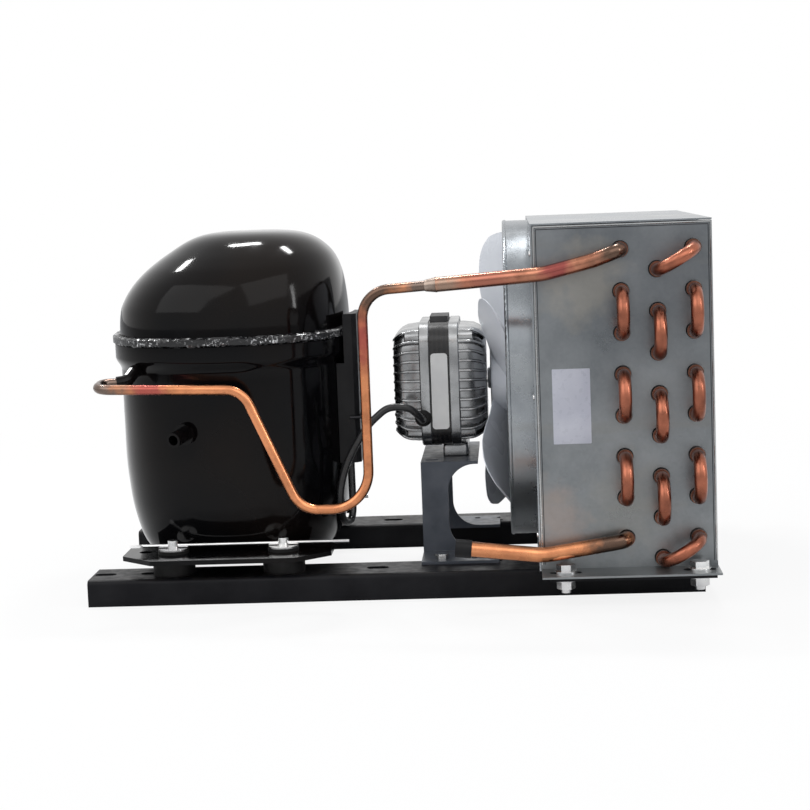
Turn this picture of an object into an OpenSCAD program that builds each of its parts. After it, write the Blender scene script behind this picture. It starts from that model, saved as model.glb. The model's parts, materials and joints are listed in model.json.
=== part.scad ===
// Condensing unit: hermetic compressor, fan motor, fan and a finned condenser on two rails.
// X runs along the rails from the compressor to the condenser, Y away from the pipe side, Z up.
// The origin is on the floor at the centre of the unit.

/* [Base rails] */
// Length over both ends of the unit
overall_len = 396.6; // [380:1:440]
// Length of each rail
rail_len = 390; // [360:1:396]
// Width of a rail's top
rail_w = 40; // [36:1:44]
// Height of a rail
rail_h = 16.8; // [14:0.2:20]
// Sheet thickness of a rail
rail_t = 1.8; // [1.5:0.1:2.5]
// Distance between the centre lines of the rails
rail_gap = 170; // [164:1:176]
// Width of the slotted mounting holes in the rails
mount_slot_w = 7; // [5:0.5:8]
// Length of the slotted mounting holes in the rails
mount_slot_len = 14; // [11:1:18]

/* [Compressor] */
// Length of the shell along the rails
shell_len = 152; // [146:1:156]
// Depth of the shell across the rails
shell_depth = 176; // [168:1:180]
// Height of the shell's top above the floor
shell_top_z = 232.6; // [225:1:240]
// Height of the weld seam above the floor
seam_z = 162; // [156:1:168]
// Thickness of the shell's steel
shell_t = 3; // [2.5:0.1:3.5]
// Distance between the grommets along a rail
grommet_pitch = 71; // [66:1:74]
// Outer diameter of a grommet
grommet_d = 27; // [24:0.5:30]
// Thickness of the compressor's feet
foot_t = 3; // [2:0.1:4]
// Diameter of the studs through the grommets
stud_d = 7; // [6:0.5:8]
// Diameter of the retaining rods
rod_d = 2.4; // [2:0.1:3]

/* [Fan and motor] */
// Height of the fan's axis above the floor
fan_z = 127.5; // [126:0.25:129]
// Diameter of the fan
fan_d = 196; // [180:1:202]
// Number of blades
blade_count = 5; // [4:1:6]
// Width and height of the motor's laminated stack
stack_w = 82; // [78:1:84]
// Length of the laminated stack
stack_len = 13; // [11:0.5:15]
// Width of the smooth rim of each motor cover
rim_len = 6.5; // [5:0.5:8]
// Length of the ribbed part of each motor cover
cover_len = 17.5; // [15:0.5:18]
// Number of ribs on a motor cover's side
rib_count = 12; // [8:1:14]
// Diameter of the fan shaft
fan_shaft_d = 6; // [5:0.5:8]
// Sheet thickness of the motor bracket
bracket_t = 2; // [1.5:0.1:2.5]
// Distance between the two legs of the motor bracket, outside
bracket_depth = 92; // [88:1:98]

/* [Condenser] */
// Width of the end plates along the rails
plate_w = 108.5; // [106:0.5:110]
// Top of the end plates above the floor
plate_top_z = 231.6; // [230:0.2:233]
// Distance between the outer faces of the end plates
plate_gap = 238; // [230:1:244]
// Sheet thickness of the end plates
plate_t = 1.2; // [1:0.1:1.6]
// Length of the end plates' feet
plate_foot = 27; // [25:0.5:30]
// Thickness of the shelf under the condenser
shelf_t = 2; // [1.5:0.1:2.5]
// Sheet thickness of the fan shroud
shroud_t = 1; // [0.8:0.1:1.2]
// Outer diameter of the shroud's ring
ring_d = 210.6; // [210:0.2:211]
// Length of the shroud's ring
ring_len = 16.6; // [12:0.2:20]
// Distance between tubes in a row
tube_pitch = 25.4; // [25:0.1:25.6]
// Distance between rows of tubes
row_pitch = 22; // [21:0.25:22]
// Tubes in each row
tubes_per_row = 8; // [8:1:8]
// Outer diameter of the coil's tubes
tube_d = 7.94; // [7:0.02:8.4]
// Outer diameter of the bells on the tube ends
bell_d = 9.5; // [9.2:0.1:10]
// Number of fins in the coil
fin_count = 48; // [30:1:56]
// Thickness of one fin
fin_t = 1; // [0.6:0.1:1.2]

/* [Pipes] */
// Outer diameter of the discharge pipe
pipe_d = 6.35; // [5:0.05:7]
// Outer diameter of the two pipes at the condenser
tail_d = 9.5; // [8:0.1:9.8]
// Distance of the discharge pipe's front run from the centre
pipe_front = 109; // [106:1:112]
// Bore of the suction and process stubs
stub_bore = 6.5; // [5:0.1:7]

/* [Hidden] */
$fn = 48;

// Shared clearances and overruns
cut = 1;
soft_gap = 0.3;
fit_gap = 0.03;

// Places along the unit, from the left end of the rails
shell_inset = 88.3;
motor_inset = 226;
left_x = -overall_len / 2;
right_x = overall_len / 2;
rail_y = rail_gap / 2;
shell_x = left_x + shell_inset;
motor_x = left_x + motor_inset;
plate_left_x = right_x - plate_w;
plate_y = plate_gap / 2;
shelf_top_z = rail_h + shelf_t;

// Rail details
rail_bend = 3;
front_slot_places = [8, 38, 184];
small_hole_places = [245.5, 261.5];
rear_slot_places = [8, 184];
small_hole_d = 4.4;

function unit(v) = v / norm(v);

// Superellipse outline in the plane, with half sizes a and b
outline_power = 2.5;
outline_steps = 48;
function signed_pow(v, e) = sign(v) * pow(abs(v), e);
function oval(a, b) = [for (i = [0 : outline_steps - 1])
    let (t = 360 * i / outline_steps)
    [a * signed_pow(cos(t), 2 / outline_power), b * signed_pow(sin(t), 2 / outline_power)]];

// Closed solid through a list of rings, each with the same number of points
function ring_faces(n, m) = concat(
    [for (i = [0 : n - 2]) for (j = [0 : m - 1])
        [i * m + j, (i + 1) * m + j, (i + 1) * m + (j + 1) % m]],
    [for (i = [0 : n - 2]) for (j = [0 : m - 1])
        [i * m + j, (i + 1) * m + (j + 1) % m, i * m + (j + 1) % m]],
    [for (j = [1 : m - 2]) [0, j, j + 1]],
    [for (j = [1 : m - 2]) [(n - 1) * m, (n - 1) * m + j + 1, (n - 1) * m + j]]);
module loft(rings) {
    polyhedron(points = [for (ring = rings) for (p = ring) p], faces = ring_faces(len(rings), len(rings[0])));
}

// Route with rounded corners: points on straight runs and on arcs of the given radii
arc_steps = 5;
function turn_angle(p, i) = acos(unit(p[i] - p[i - 1]) * unit(p[i + 1] - p[i]));
function turn_cut(p, b, i) = i <= 0 || i >= len(p) - 1 ? 0 : b[i] * tan(turn_angle(p, i) / 2);
function arc_points(p, b, i) =
    let (d1 = unit(p[i] - p[i - 1]), d2 = unit(p[i + 1] - p[i]), angle = turn_angle(p, i))
    let (side = unit(d2 - d1 * (d1 * d2)), start = p[i] - d1 * turn_cut(p, b, i))
    [for (k = [0 : arc_steps])
        let (a = angle * k / arc_steps)
        start + d1 * b[i] * sin(a) + side * b[i] * (1 - cos(a))];
function rounded_route(p, b) = concat([p[0]],
    [for (i = [1 : len(p) - 2]) each arc_points(p, b, i)], [p[len(p) - 1]]);

// Tube swept along a route, with a frame that turns as little as it can
function route_dir(p, i) = i == 0 ? unit(p[1] - p[0])
    : i == len(p) - 1 ? unit(p[i] - p[i - 1])
    : unit(unit(p[i] - p[i - 1]) + unit(p[i + 1] - p[i]));
function any_side(d) = unit(cross(d, abs(d[2]) < 0.9 ? [0, 0, 1] : [1, 0, 0]));
function route_sides(p) = [for (i = 0, s = any_side(route_dir(p, 0)); i < len(p);
    i = i + 1, s = i < len(p) ? unit(s - route_dir(p, i) * (s * route_dir(p, i))) : s) s];
module swept_tube(p, r, sides) {
    across = route_sides(p);
    loft([for (i = [0 : len(p) - 1])
        let (d = route_dir(p, i), s = across[i], t = cross(d, s))
        [for (j = [0 : sides - 1]) p[i] + (s * cos(360 * j / sides) + t * sin(360 * j / sides)) * r]]);
}
pipe_sides = 14;
module bent_pipe(p, b, r) swept_tube(rounded_route(p, b), r, pipe_sides);

module along_x(x) translate([x, 0, fan_z]) rotate([90, 0, 90]) children();
module slot_2d(w, len) {
    square([len - w, w], center = true);
    for (s = [-1, 1]) translate([s * (len - w) / 2, 0]) circle(d = w);
}
module rounded_square(w, r) {
    square([w - 2 * r, w], center = true);
    square([w, w - 2 * r], center = true);
    for (x = [-1, 1]) for (y = [-1, 1]) translate([x * (w / 2 - r), y * (w / 2 - r)]) circle(r = r);
}
module hexagon_prism(across_flats, h) cylinder(d = across_flats / cos(30), h = h, $fn = 6);

// Base rails: open channels with rounded top edges
module rail_section() {
    difference() {
        union() {
            translate([-rail_w / 2, 0]) square([rail_w, rail_h - rail_bend]);
            translate([-rail_w / 2 + rail_bend, 0]) square([rail_w - 2 * rail_bend, rail_h]);
            for (s = [-1, 1]) translate([s * (rail_w / 2 - rail_bend), rail_h - rail_bend]) circle(r = rail_bend);
        }
        translate([-rail_w / 2 + rail_t, -cut]) square([rail_w - 2 * rail_t, rail_h - rail_t + cut]);
    }
}
module rail(slots, holes, hole_y) {
    difference() {
        translate([left_x, 0, 0]) rotate([90, 0, 90]) linear_extrude(rail_len) rail_section();
        for (x = slots) translate([left_x + x, 0, rail_h - rail_t - cut])
            linear_extrude(rail_t + 2 * cut) slot_2d(mount_slot_w, mount_slot_len);
        for (x = holes) translate([left_x + x, hole_y, rail_h - rail_t - cut])
            cylinder(d = small_hole_d, h = rail_t + 2 * cut);
        for (x = bracket_screw_x) translate([x, hole_y, rail_h - rail_t - cut])
            cylinder(d = bracket_screw_d + 2 * fit_gap, h = rail_t + 2 * cut);
        for (s = [-1, 1]) translate([shell_x + s * grommet_pitch / 2, 0, rail_h - rail_t - cut])
            cylinder(d = stud_d + 2 * fit_gap, h = rail_t + 2 * cut);
    }
}
module front_rail() color("#16161a") translate([0, -rail_y, 0])
    rail(front_slot_places, small_hole_places, bracket_hole_y);
module rear_rail() color("#16161a") translate([0, rail_y, 0])
    rail(rear_slot_places, small_hole_places, -bracket_hole_y);

// Shelf that carries the condenser across both rails
shelf_left_inset = 5;
shelf_right_inset = 3;
shelf_overhang = 24;
shelf_y = plate_y + shelf_overhang;
bolt_left_inset = 14.5;
bolt_right_inset = 12.5;
bolt_outset = 12.5;
condenser_bolt_x = [plate_left_x + bolt_left_inset, right_x - bolt_right_inset];
condenser_bolt_y = plate_y + bolt_outset;
condenser_bolt_d = 6;
bolt_hole_d = condenser_bolt_d + 2 * soft_gap;
module condenser_shelf() color("#16161a") difference() {
    translate([plate_left_x + shelf_left_inset, -shelf_y, rail_h])
        cube([plate_w - shelf_left_inset - shelf_right_inset, 2 * shelf_y, shelf_t]);
    for (x = condenser_bolt_x) for (s = [-1, 1])
        translate([x, s * condenser_bolt_y, rail_h - cut]) cylinder(d = bolt_hole_d, h = shelf_t + 2 * cut);
}

// Compressor mounting: studs, rubber grommets, sleeves, washers and retaining rods
grommet_h = 10.2;
foot_z = rail_h + grommet_h;
lip_t = 2;
sleeve_wall = 1;
sleeve_d = stud_d + 2 * sleeve_wall + 2 * fit_gap;
neck_wall = 2.5;
neck_d = sleeve_d + 2 * neck_wall;
lip_reach = 3;
lip_d = neck_d + 2 * lip_reach;
washer_t = 1.2;
washer_d = 19;
washer_z = foot_z + foot_t + lip_t;
stud_head_d = 12;
stud_head_t = 2;
rod_z = washer_z + washer_t + rod_d / 2 + soft_gap;
stud_over = 2.2;
stud_top_z = rod_z + rod_d / 2 + stud_over;
module at_grommets() for (x = [-1, 1]) for (y = [-1, 1])
    translate([shell_x + x * grommet_pitch / 2, y * rail_y, 0]) children();
module rail_studs() color("#b9bcc0") at_grommets() difference() {
    union() {
        translate([0, 0, rail_h - rail_t - stud_head_t]) cylinder(d = stud_head_d, h = stud_head_t);
        translate([0, 0, rail_h - rail_t - stud_head_t])
            cylinder(d = stud_d, h = stud_top_z - rail_h + rail_t + stud_head_t);
    }
    translate([-stud_d, 0, rod_z]) rotate([0, 90, 0]) cylinder(d = rod_d + 2 * fit_gap, h = 2 * stud_d);
}
module grommets() color("#1c1b1a") at_grommets() difference() {
    union() {
        translate([0, 0, rail_h]) cylinder(d = grommet_d, h = foot_z - rail_h);
        translate([0, 0, foot_z - cut]) cylinder(d = neck_d, h = foot_t + 2 * cut);
        translate([0, 0, foot_z + foot_t]) cylinder(d = lip_d, h = lip_t);
    }
    translate([0, 0, rail_h - cut]) cylinder(d = sleeve_d + 2 * fit_gap, h = washer_z - rail_h + 2 * cut);
}
module grommet_sleeves() color("#a9adb1") at_grommets() difference() {
    translate([0, 0, rail_h]) cylinder(d = sleeve_d, h = washer_z - rail_h);
    translate([0, 0, rail_h - cut]) cylinder(d = stud_d + 2 * fit_gap, h = washer_z - rail_h + 2 * cut);
}
module grommet_washers() color("#c6c8ca") at_grommets() difference() {
    translate([0, 0, washer_z]) cylinder(d = washer_d, h = washer_t);
    translate([0, 0, washer_z - cut]) cylinder(d = stud_d + 2 * fit_gap, h = washer_t + 2 * cut);
}
rod_left = 56;
rod_right = 78;
rod_end_len = 9;
rod_end_w = 5;
module retaining_rods() color("#dfe1e3") for (s = [-1, 1]) translate([shell_x, s * rail_y, rod_z]) {
    translate([-rod_left, 0, 0]) rotate([0, 90, 0]) cylinder(d = rod_d, h = rod_left + rod_right);
    translate([-rod_left - rod_end_len / 2 + rod_d / 2, 0, -rod_d / 4])
        linear_extrude(rod_d / 2) slot_2d(rod_end_w, rod_end_len);
}

// Feet: a formed wing on each side of the shell, cut round the shell's bottom
foot_half_len = 67;
foot_front_y = 112;
foot_tip_y = 93;
foot_inner_y = 60;
foot_nose_half = 46;
foot_hole_offset = 54.4;
foot_hole_inset = 4;
foot_hole_y = rail_y - foot_hole_inset;
foot_hole_d = 8;
module foot_wing() difference() {
    translate([0, 0, foot_z]) linear_extrude(foot_t) difference() {
        polygon([[-foot_half_len, foot_inner_y], [foot_half_len, foot_inner_y], [foot_half_len, foot_tip_y],
            [foot_nose_half, foot_front_y], [-foot_nose_half, foot_front_y], [-foot_half_len, foot_tip_y]]);
        polygon(oval(lower_half_len(foot_share) + soft_gap, lower_half_depth(foot_share) + soft_gap));
    }
    for (x = [-1, 1]) translate([x * grommet_pitch / 2, rail_y, foot_z - cut])
        cylinder(d = neck_d + 2 * fit_gap, h = foot_t + 2 * cut);
    for (x = [-1, 1]) translate([x * foot_hole_offset, foot_hole_y, foot_z - cut])
        cylinder(d = foot_hole_d, h = foot_t + 2 * cut);
}
module compressor_feet() color("#131315") translate([shell_x, 0, 0]) {
    foot_wing();
    mirror([0, 1, 0]) foot_wing();
}

// Shell halves. Each row gives the height, length and depth as shares of the half shell
shell_lift = 1.7;
shell_bottom_z = rail_h + shell_lift;
lower_h = seam_z - shell_bottom_z;
foot_share = (foot_z - shell_bottom_z + foot_t) / lower_h;
flare_share = 0.88;
lower_shares = [[0, 0.66, 0.7], [0.014, 0.76, 0.8], [0.052, 0.84, 0.855], [0.135, 0.91, 0.92], [0.3, 0.974, 0.975],
    [0.5, 1, 1], [flare_share, 1, 1]];
rim_flare = 3.5;
rim_share = 0.06;
function half_len() = shell_len / 2;
function half_depth() = shell_depth / 2;
function share_at(table, share, col, i = 0) = i >= len(table) - 1 ? table[len(table) - 1][col]
    : share <= table[i + 1][0]
    ? table[i][col] + (table[i + 1][col] - table[i][col]) * (share - table[i][0]) / (table[i + 1][0] - table[i][0])
    : share_at(table, share, col, i + 1);
function lower_half_len(share) = half_len() * share_at(lower_shares, share, 1);
function lower_half_depth(share) = half_depth() * share_at(lower_shares, share, 2);
function ring_at(a, b, x, z) = [for (p = oval(a, b)) [p[0] + x, p[1], z]];
module lower_form(inset, bottom, top) {
    h = top - bottom;
    loft(concat([for (row = lower_shares)
        ring_at(half_len() * row[1] - inset, half_depth() * row[2] - inset, 0, bottom + h * row[0])],
        [ring_at(half_len() + rim_flare - inset, half_depth() + rim_flare - inset, 0, top - h * rim_share),
        ring_at(half_len() + rim_flare - inset, half_depth() + rim_flare - inset, 0, top)]));
}
module lower_shell() color("#0d0d10") translate([shell_x, 0, 0]) difference() {
    lower_form(0, shell_bottom_z, seam_z);
    lower_form(shell_t, shell_bottom_z + shell_t, seam_z + cut);
}
skirt_h = 5;
// Height, length, depth and sideways lean of each ring of the dome
upper_shares = [[0, 1, 1, 0], [0.3, 0.992, 0.995, 0], [0.44, 0.978, 0.968, 0.004], [0.58, 0.944, 0.918, 0.028],
    [0.69, 0.881, 0.84, 0.077], [0.775, 0.798, 0.762, 0.145], [0.865, 0.67, 0.65, 0.222],
    [0.93, 0.56, 0.545, 0.272], [0.962, 0.5, 0.49, 0.3], [0.988, 0.46, 0.45, 0.31], [1, 0.43, 0.42, 0.315]];
module upper_form(inset, bottom, top) {
    h = top - bottom;
    loft(concat([ring_at(half_len() - inset, half_depth() - inset, 0, seam_z - skirt_h - (inset > 0 ? cut : 0))],
        [for (row = upper_shares)
        ring_at(half_len() * row[1] - inset, half_depth() * row[2] - inset, half_len() * row[3],
            bottom + h * row[0])]));
}
module upper_shell() color("#0d0d10") translate([shell_x, 0, 0]) difference() {
    upper_form(0, seam_z, shell_top_z);
    upper_form(shell_t, seam_z, shell_top_z - shell_t);
}
weld_shares = [[0, 0.5], [0.2, 1], [0.5, 0.9], [0.8, 0.5], [1, 0.1]];
weld_h = 6.4;
weld_out = 1.2;
module shell_weld() color("#1d1b1b") translate([shell_x, 0, 0]) difference() {
    loft([for (row = weld_shares) ring_at(half_len() + rim_flare * (1 - row[0]) + weld_out * row[1],
        half_depth() + rim_flare * (1 - row[0]) + weld_out * row[1], 0, seam_z + weld_h * row[0])]);
    translate([0, 0, seam_z - cut]) linear_extrude(weld_h + 2 * cut)
        polygon(oval(half_len() + fit_gap, half_depth() + fit_gap));
}

// Stubs on the shell
stub_d = 9.6;
suction_place = [-22, 4, -54];
suction_run = [-7, -18, -3];
collar_d = 14;
collar_t = 2.5;
collar_sink = 4.5;
suction_root = [shell_x, -half_depth(), seam_z] + suction_place;
suction_end = suction_root + suction_run;
process_place = [-30, -4, -30];
process_run = [-5, 30, 5];
process_root = [shell_x, half_depth(), seam_z] + process_place;
process_end = process_root + process_run;
module open_tube(a, b, r, bore, depth) {
    d = b - a;
    translate(a) rotate([0, acos(d[2] / norm(d)), atan2(d[1], d[0])]) difference() {
        cylinder(h = norm(d), r = r);
        translate([0, 0, norm(d) - depth]) cylinder(h = depth + cut, r = bore / 2);
    }
}
stub_bore_depth = 16;
process_d = 8;
module suction_stub() color("#141416") {
    open_tube(suction_root, suction_end, stub_d / 2, stub_bore, stub_bore_depth);
    open_tube(suction_root + collar_sink * unit(suction_run),
        suction_root + (collar_sink + collar_t) * unit(suction_run), collar_d / 2, stub_d - cut, collar_t + cut);
}
module process_stub() color("#141416") {
    open_tube(process_root, process_end, process_d / 2, process_d - 2 * sleeve_wall, stub_bore_depth);
}
discharge_place = [-52, -64, -14];
discharge_runs = [[-4.5, -13, -1], [-3.5, -8.5, -5.5], [-6, -1.5, -0.6]];
discharge_stub_radii = [0, 6, 5, 0];
discharge_root = [shell_x, 0, seam_z] + discharge_place;
discharge_mid = discharge_root + discharge_runs[0];
discharge_turn = discharge_mid + discharge_runs[1];
discharge_end = discharge_turn + discharge_runs[2];
discharge_d = 8.4;
module discharge_stub() color("#17171a")
    bent_pipe([discharge_root, discharge_mid, discharge_turn, discharge_end], discharge_stub_radii,
        discharge_d / 2);

// Electrical box on the side of the shell
box_over = 15;
box_under = 83;
box_out = 8.5;
box_middle_y = -24;
box_in = 6;
box_top_z = seam_z + box_over;
box_bottom_z = seam_z - box_under;
box_half_y = 20;
box_x = shell_x + half_len() + box_out;
box_inner_x = shell_x + half_len() - box_in;
box_wall = 1.8;
box_edge = 3;
lead_hole_inset = 7.5;
lead_hole_shift = 12;
rim_out = rim_flare + weld_out + soft_gap;
module box_form(inset, back) translate([0, box_middle_y, box_bottom_z + inset])
    linear_extrude(box_top_z - box_bottom_z - 2 * inset)
    polygon([[back, -box_half_y + inset], [box_x - box_edge - inset, -box_half_y + inset],
        [box_x - inset, -box_half_y + box_edge + inset], [box_x - inset, box_half_y - box_edge - inset],
        [box_x - box_edge - inset, box_half_y - inset], [back, box_half_y - inset]]);
module terminal_cover() color("#101012") difference() {
    box_form(0, box_inner_x);
    box_form(box_wall, box_inner_x - cut);
    translate([shell_x, 0, box_bottom_z - cut]) linear_extrude(seam_z - box_bottom_z)
        polygon(oval(half_len() + soft_gap, half_depth() + soft_gap));
    translate([shell_x, 0, shell_bottom_z + lower_h * flare_share]) linear_extrude(box_top_z - seam_z + lower_h)
        polygon(oval(half_len() + rim_out, half_depth() + rim_out));
    translate([box_x - lead_hole_inset, box_middle_y - lead_hole_shift, box_bottom_z - cut])
        cylinder(d = lead_d + 2 * soft_gap, h = box_wall + 2 * cut);
}
clip_d = 2;
clip_lift = 30;
clip_leg = 6;
clip_z = box_bottom_z + clip_lift;
module terminal_clip() color("#c9cbcd") {
    translate([box_x + clip_d / 2, box_middle_y - box_half_y, clip_z]) rotate([-90, 0, 0])
        cylinder(d = clip_d, h = 2 * box_half_y);
    for (s = [-1, 1]) translate([box_x - clip_leg, box_middle_y + s * (box_half_y + clip_d / 2), clip_z])
        rotate([0, 90, 0]) cylinder(d = clip_d, h = clip_leg + clip_d);
}
block_w = 24;
block_h = 22;
block_t = 4;
pin_d = 2.3;
pin_ring = 7;
pin_len = 5.5;
block_x = shell_x + half_len();
block_lift = 48;
block_z = box_bottom_z + block_lift;
module terminal_block() color("#2b2a28") translate([block_x, box_middle_y, block_z]) {
    translate([0, -block_w / 2, -block_h / 2]) cube([block_t, block_w, block_h]);
    for (a = [90, 210, 330]) translate([0, pin_ring * cos(a), pin_ring * sin(a)])
        rotate([0, 90, 0]) cylinder(d = pin_d, h = pin_len);
}
relay_w = 24;
relay_h = 20;
relay_t = 5.5;
module start_relay() color("#e7e3d8") translate([block_x, box_middle_y - relay_w / 2, block_z - block_h / 2 - relay_h - cut])
    cube([relay_t, relay_w, relay_h]);

// Sealed pump inside the shell
pump_lift = 26;
pump_z = shell_bottom_z + shell_t + pump_lift;
stator_d = 112;
stator_h = 36;
stator_bore = 58;
winding_h = 14;
winding_gap = 2;
winding_share = 0.4;
winding_d = stator_bore + (stator_d - stator_bore) * winding_share;
rotor_gap = 0.4;
crank_d = 16;
crank_pin_d = 12;
crank_throw = 7;
block_plate_h = 14;
block_len = 104;
block_depth = 112;
bearing_d = 30;
block_gap = 2;
block_base_z = pump_z + stator_h + winding_h + block_gap;
bore_d = 26;
barrel_d = 42;
bore_z = block_base_z + block_plate_h + barrel_d / 2;
barrel_y = 16;
barrel_inset = 2;
barrel_len = block_depth / 2 - barrel_y - barrel_inset;
head_t = 9;
web_t = 7;
web_gap = 1;
web_z = bore_z - barrel_d / 2 - web_gap;
module ring(od, id, h) difference() {
    cylinder(d = od, h = h);
    translate([0, 0, -cut]) cylinder(d = id, h = h + 2 * cut);
}
module at_pump(z) translate([shell_x, 0, z]) children();
module pump_stator() color("#8c8f92") at_pump(pump_z) ring(stator_d, stator_bore, stator_h);
module pump_windings() color("#b5672c") for (z = [pump_z - winding_h, pump_z + stator_h])
    at_pump(z) ring(winding_d, stator_bore + 2 * winding_gap, winding_h);
module pump_rotor() color("#9da0a3")
    at_pump(pump_z) ring(stator_bore - 2 * rotor_gap, crank_d + 2 * fit_gap, stator_h);
module crankshaft() color("#777a7d") {
    at_pump(pump_z - winding_h) cylinder(d = crank_d, h = web_z - pump_z + winding_h);
    at_pump(web_z) cylinder(d = crank_d + 2 * crank_throw, h = web_t);
    translate([shell_x, crank_throw, web_z + web_gap]) cylinder(d = crank_pin_d, h = barrel_d / 2 + web_t);
}
module pump_block() color("#5b5d60") at_pump(0) difference() {
    union() {
        translate([-block_len / 2, -block_depth / 2, block_base_z]) cube([block_len, block_depth, block_plate_h]);
        translate([0, 0, block_base_z - winding_h + block_gap]) cylinder(d = bearing_d, h = winding_h);
        translate([0, barrel_y, bore_z]) rotate([-90, 0, 0]) cylinder(d = barrel_d, h = barrel_len);
        translate([-barrel_d / 2, barrel_y, block_base_z]) cube([barrel_d, barrel_len, bore_z - block_base_z]);
    }
    translate([0, 0, block_base_z - winding_h])
        cylinder(d = crank_d + 2 * fit_gap, h = block_plate_h + 2 * winding_h);
    translate([0, 0, web_z - web_gap]) cylinder(d = crank_d + 2 * crank_throw + 2 * web_gap, h = barrel_d);
    translate([0, barrel_y - cut, bore_z]) rotate([-90, 0, 0])
        cylinder(d = bore_d + 2 * fit_gap, h = barrel_len + 2 * cut);
}
module cylinder_head() color("#6a6c6f")
    translate([shell_x - barrel_d / 2, barrel_y + barrel_len, bore_z - barrel_d / 2])
    cube([barrel_d, head_t, barrel_d]);
piston_len = 20;
piston_wall = 3;
piston_crown = 4;
piston_inset = 10;
piston_y = barrel_y + piston_inset;
pin_hole_d = 8;
module piston() color("#a7aaad") translate([shell_x, piston_y, bore_z]) difference() {
    rotate([-90, 0, 0]) cylinder(d = bore_d, h = piston_len);
    rotate([-90, 0, 0]) translate([0, 0, -cut])
        cylinder(d = bore_d - 2 * piston_wall, h = piston_len - piston_crown);
}
rod_eye_d = 19;
rod_t = 7;
pin_eye_wall = 2.5;
module connecting_rod() color("#8f9295") translate([shell_x, 0, bore_z - rod_t / 2]) difference() {
    union() {
        translate([0, crank_throw, 0]) cylinder(d = rod_eye_d, h = rod_t);
        translate([0, piston_y + pin_hole_d, 0]) cylinder(d = pin_hole_d + 2 * pin_eye_wall, h = rod_t);
        translate([-rod_t / 2, crank_throw, 0]) cube([rod_t, piston_y + pin_hole_d - crank_throw, rod_t]);
    }
    translate([0, crank_throw, -cut]) cylinder(d = crank_pin_d + 2 * fit_gap, h = rod_t + 2 * cut);
}
spring_wire = 2;
spring_share = 0.74;
spring_d = (stator_d - winding_d) / 2 * spring_share;
spring_place = (stator_d + winding_d) / 4 * cos(45);
module suspension_springs() color("#a3a6a8") for (x = [-1, 1]) for (y = [-1, 1])
    translate([shell_x + x * spring_place, y * spring_place, shell_bottom_z + shell_t + fit_gap])
        ring(spring_d, spring_d - 2 * spring_wire, pump_lift - 2 * fit_gap);

// Fan motor: covers, stack, windings, rotor and shaft on one axis along X
rim_corner = 16;
core_inset = 3.5;
core_end_inset = 10;
rib_inset = 0.5;
rib_end_inset = 6.5;
core_w = stack_w - 2 * core_inset;
core_end_w = stack_w - 2 * core_end_inset;
rib_w = stack_w - 2 * rib_inset;
rib_end_w = stack_w - 2 * rib_end_inset;
cover_wall = 4;
stack_left = motor_x - stack_len / 2;
stack_right = motor_x + stack_len / 2;
bush_d = 14;
bush_len = 7;
rib_t = 1.7;
foot_block_w = 17;
foot_block_half = 22;
foot_drop = 8.5;
bracket_top_z = fan_z - stack_w / 2 - foot_drop;
module tapered_block(w1, w2, r1, r2, h) hull() {
    linear_extrude(h / 2) rounded_square(w1, r1, $fn = 32);
    translate([0, 0, h * 0.55]) linear_extrude(h * 0.3) rounded_square((w1 * 2 + w2) / 3, r1, $fn = 32);
    translate([0, 0, h * 0.97]) linear_extrude(h * 0.03) rounded_square(w2, r2, $fn = 32);
}
module cover_body() {
    linear_extrude(rim_len) rounded_square(stack_w, rim_corner);
    translate([0, 0, rim_len]) tapered_block(core_w, core_end_w, rim_corner, rim_corner, cover_len);
    translate([0, 0, rim_len]) intersection() {
        tapered_block(rib_w, rib_end_w, rim_corner, rim_corner, cover_len);
        for (i = [0 : rib_count - 1])
            translate([-stack_w / 2, -stack_w / 2 + (i + 0.5) * stack_w / rib_count - rib_t / 2, -cut])
                cube([stack_w, rib_t, cover_len + 2 * cut]);
    }
}
module motor_cover() difference() {
    cover_body();
    translate([0, 0, -cut]) linear_extrude(rim_len + cover_len * cavity_share + cut)
        rounded_square(core_w - 2 * cover_wall, rim_corner - cover_wall);
    translate([0, 0, -cut]) cylinder(d = bush_d, h = rim_len + cover_len + 2 * cut);
    for (x = [-1, 1]) for (y = [-1, 1]) translate([x * screw_place, y * screw_place, -cut])
        cylinder(d = motor_screw_d + 2 * fit_gap, h = rim_len + cover_len + 2 * cut);
}
cavity_share = 0.45;
screw_place = 31;
motor_screw_d = 4;
gland_y = -stack_w / 2;
gland_drop = 21;
gland_z = fan_z - gland_drop;
gland_d = 8;
gland_x = stack_left - gland_d / 2 - cut;
module rear_motor_cover() color("#b7babd") difference() {
    along_x(stack_left) mirror([0, 0, 1]) motor_cover();
    translate([gland_x, gland_y - cut, gland_z]) rotate([-90, 0, 0])
        cylinder(d = gland_d + 2 * fit_gap, h = gland_bore_len);
}
gland_bore_len = 9;
foot_taper = 3;
module front_motor_cover() color("#b7babd") {
    difference() {
        union() {
            along_x(stack_right) motor_cover();
            translate([motor_x, 0, bracket_top_z]) rotate([90, 0, 0])
                linear_extrude(2 * foot_block_half, center = true)
                polygon([[foot_taper, 0], [foot_block_w - foot_taper, 0], [foot_block_w, foot_drop],
                    [0, foot_drop]]);
            translate([stack_right, -foot_block_half, fan_z - stack_w / 2 - cut])
                cube([rim_len, 2 * foot_block_half, 2 * cut + rib_t]);
        }
        for (s = [-1, 1]) translate([motor_x + foot_block_w / 2, s * foot_screw_y, bracket_top_z - cut])
            cylinder(d = foot_screw_d + 2 * fit_gap, h = foot_drop + cut);
    }
}
foot_screw_y = 12;
foot_screw_d = 4;
stator_bore_d = 40;
coil_window_w = 12;
coil_share = 0.6;
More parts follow.
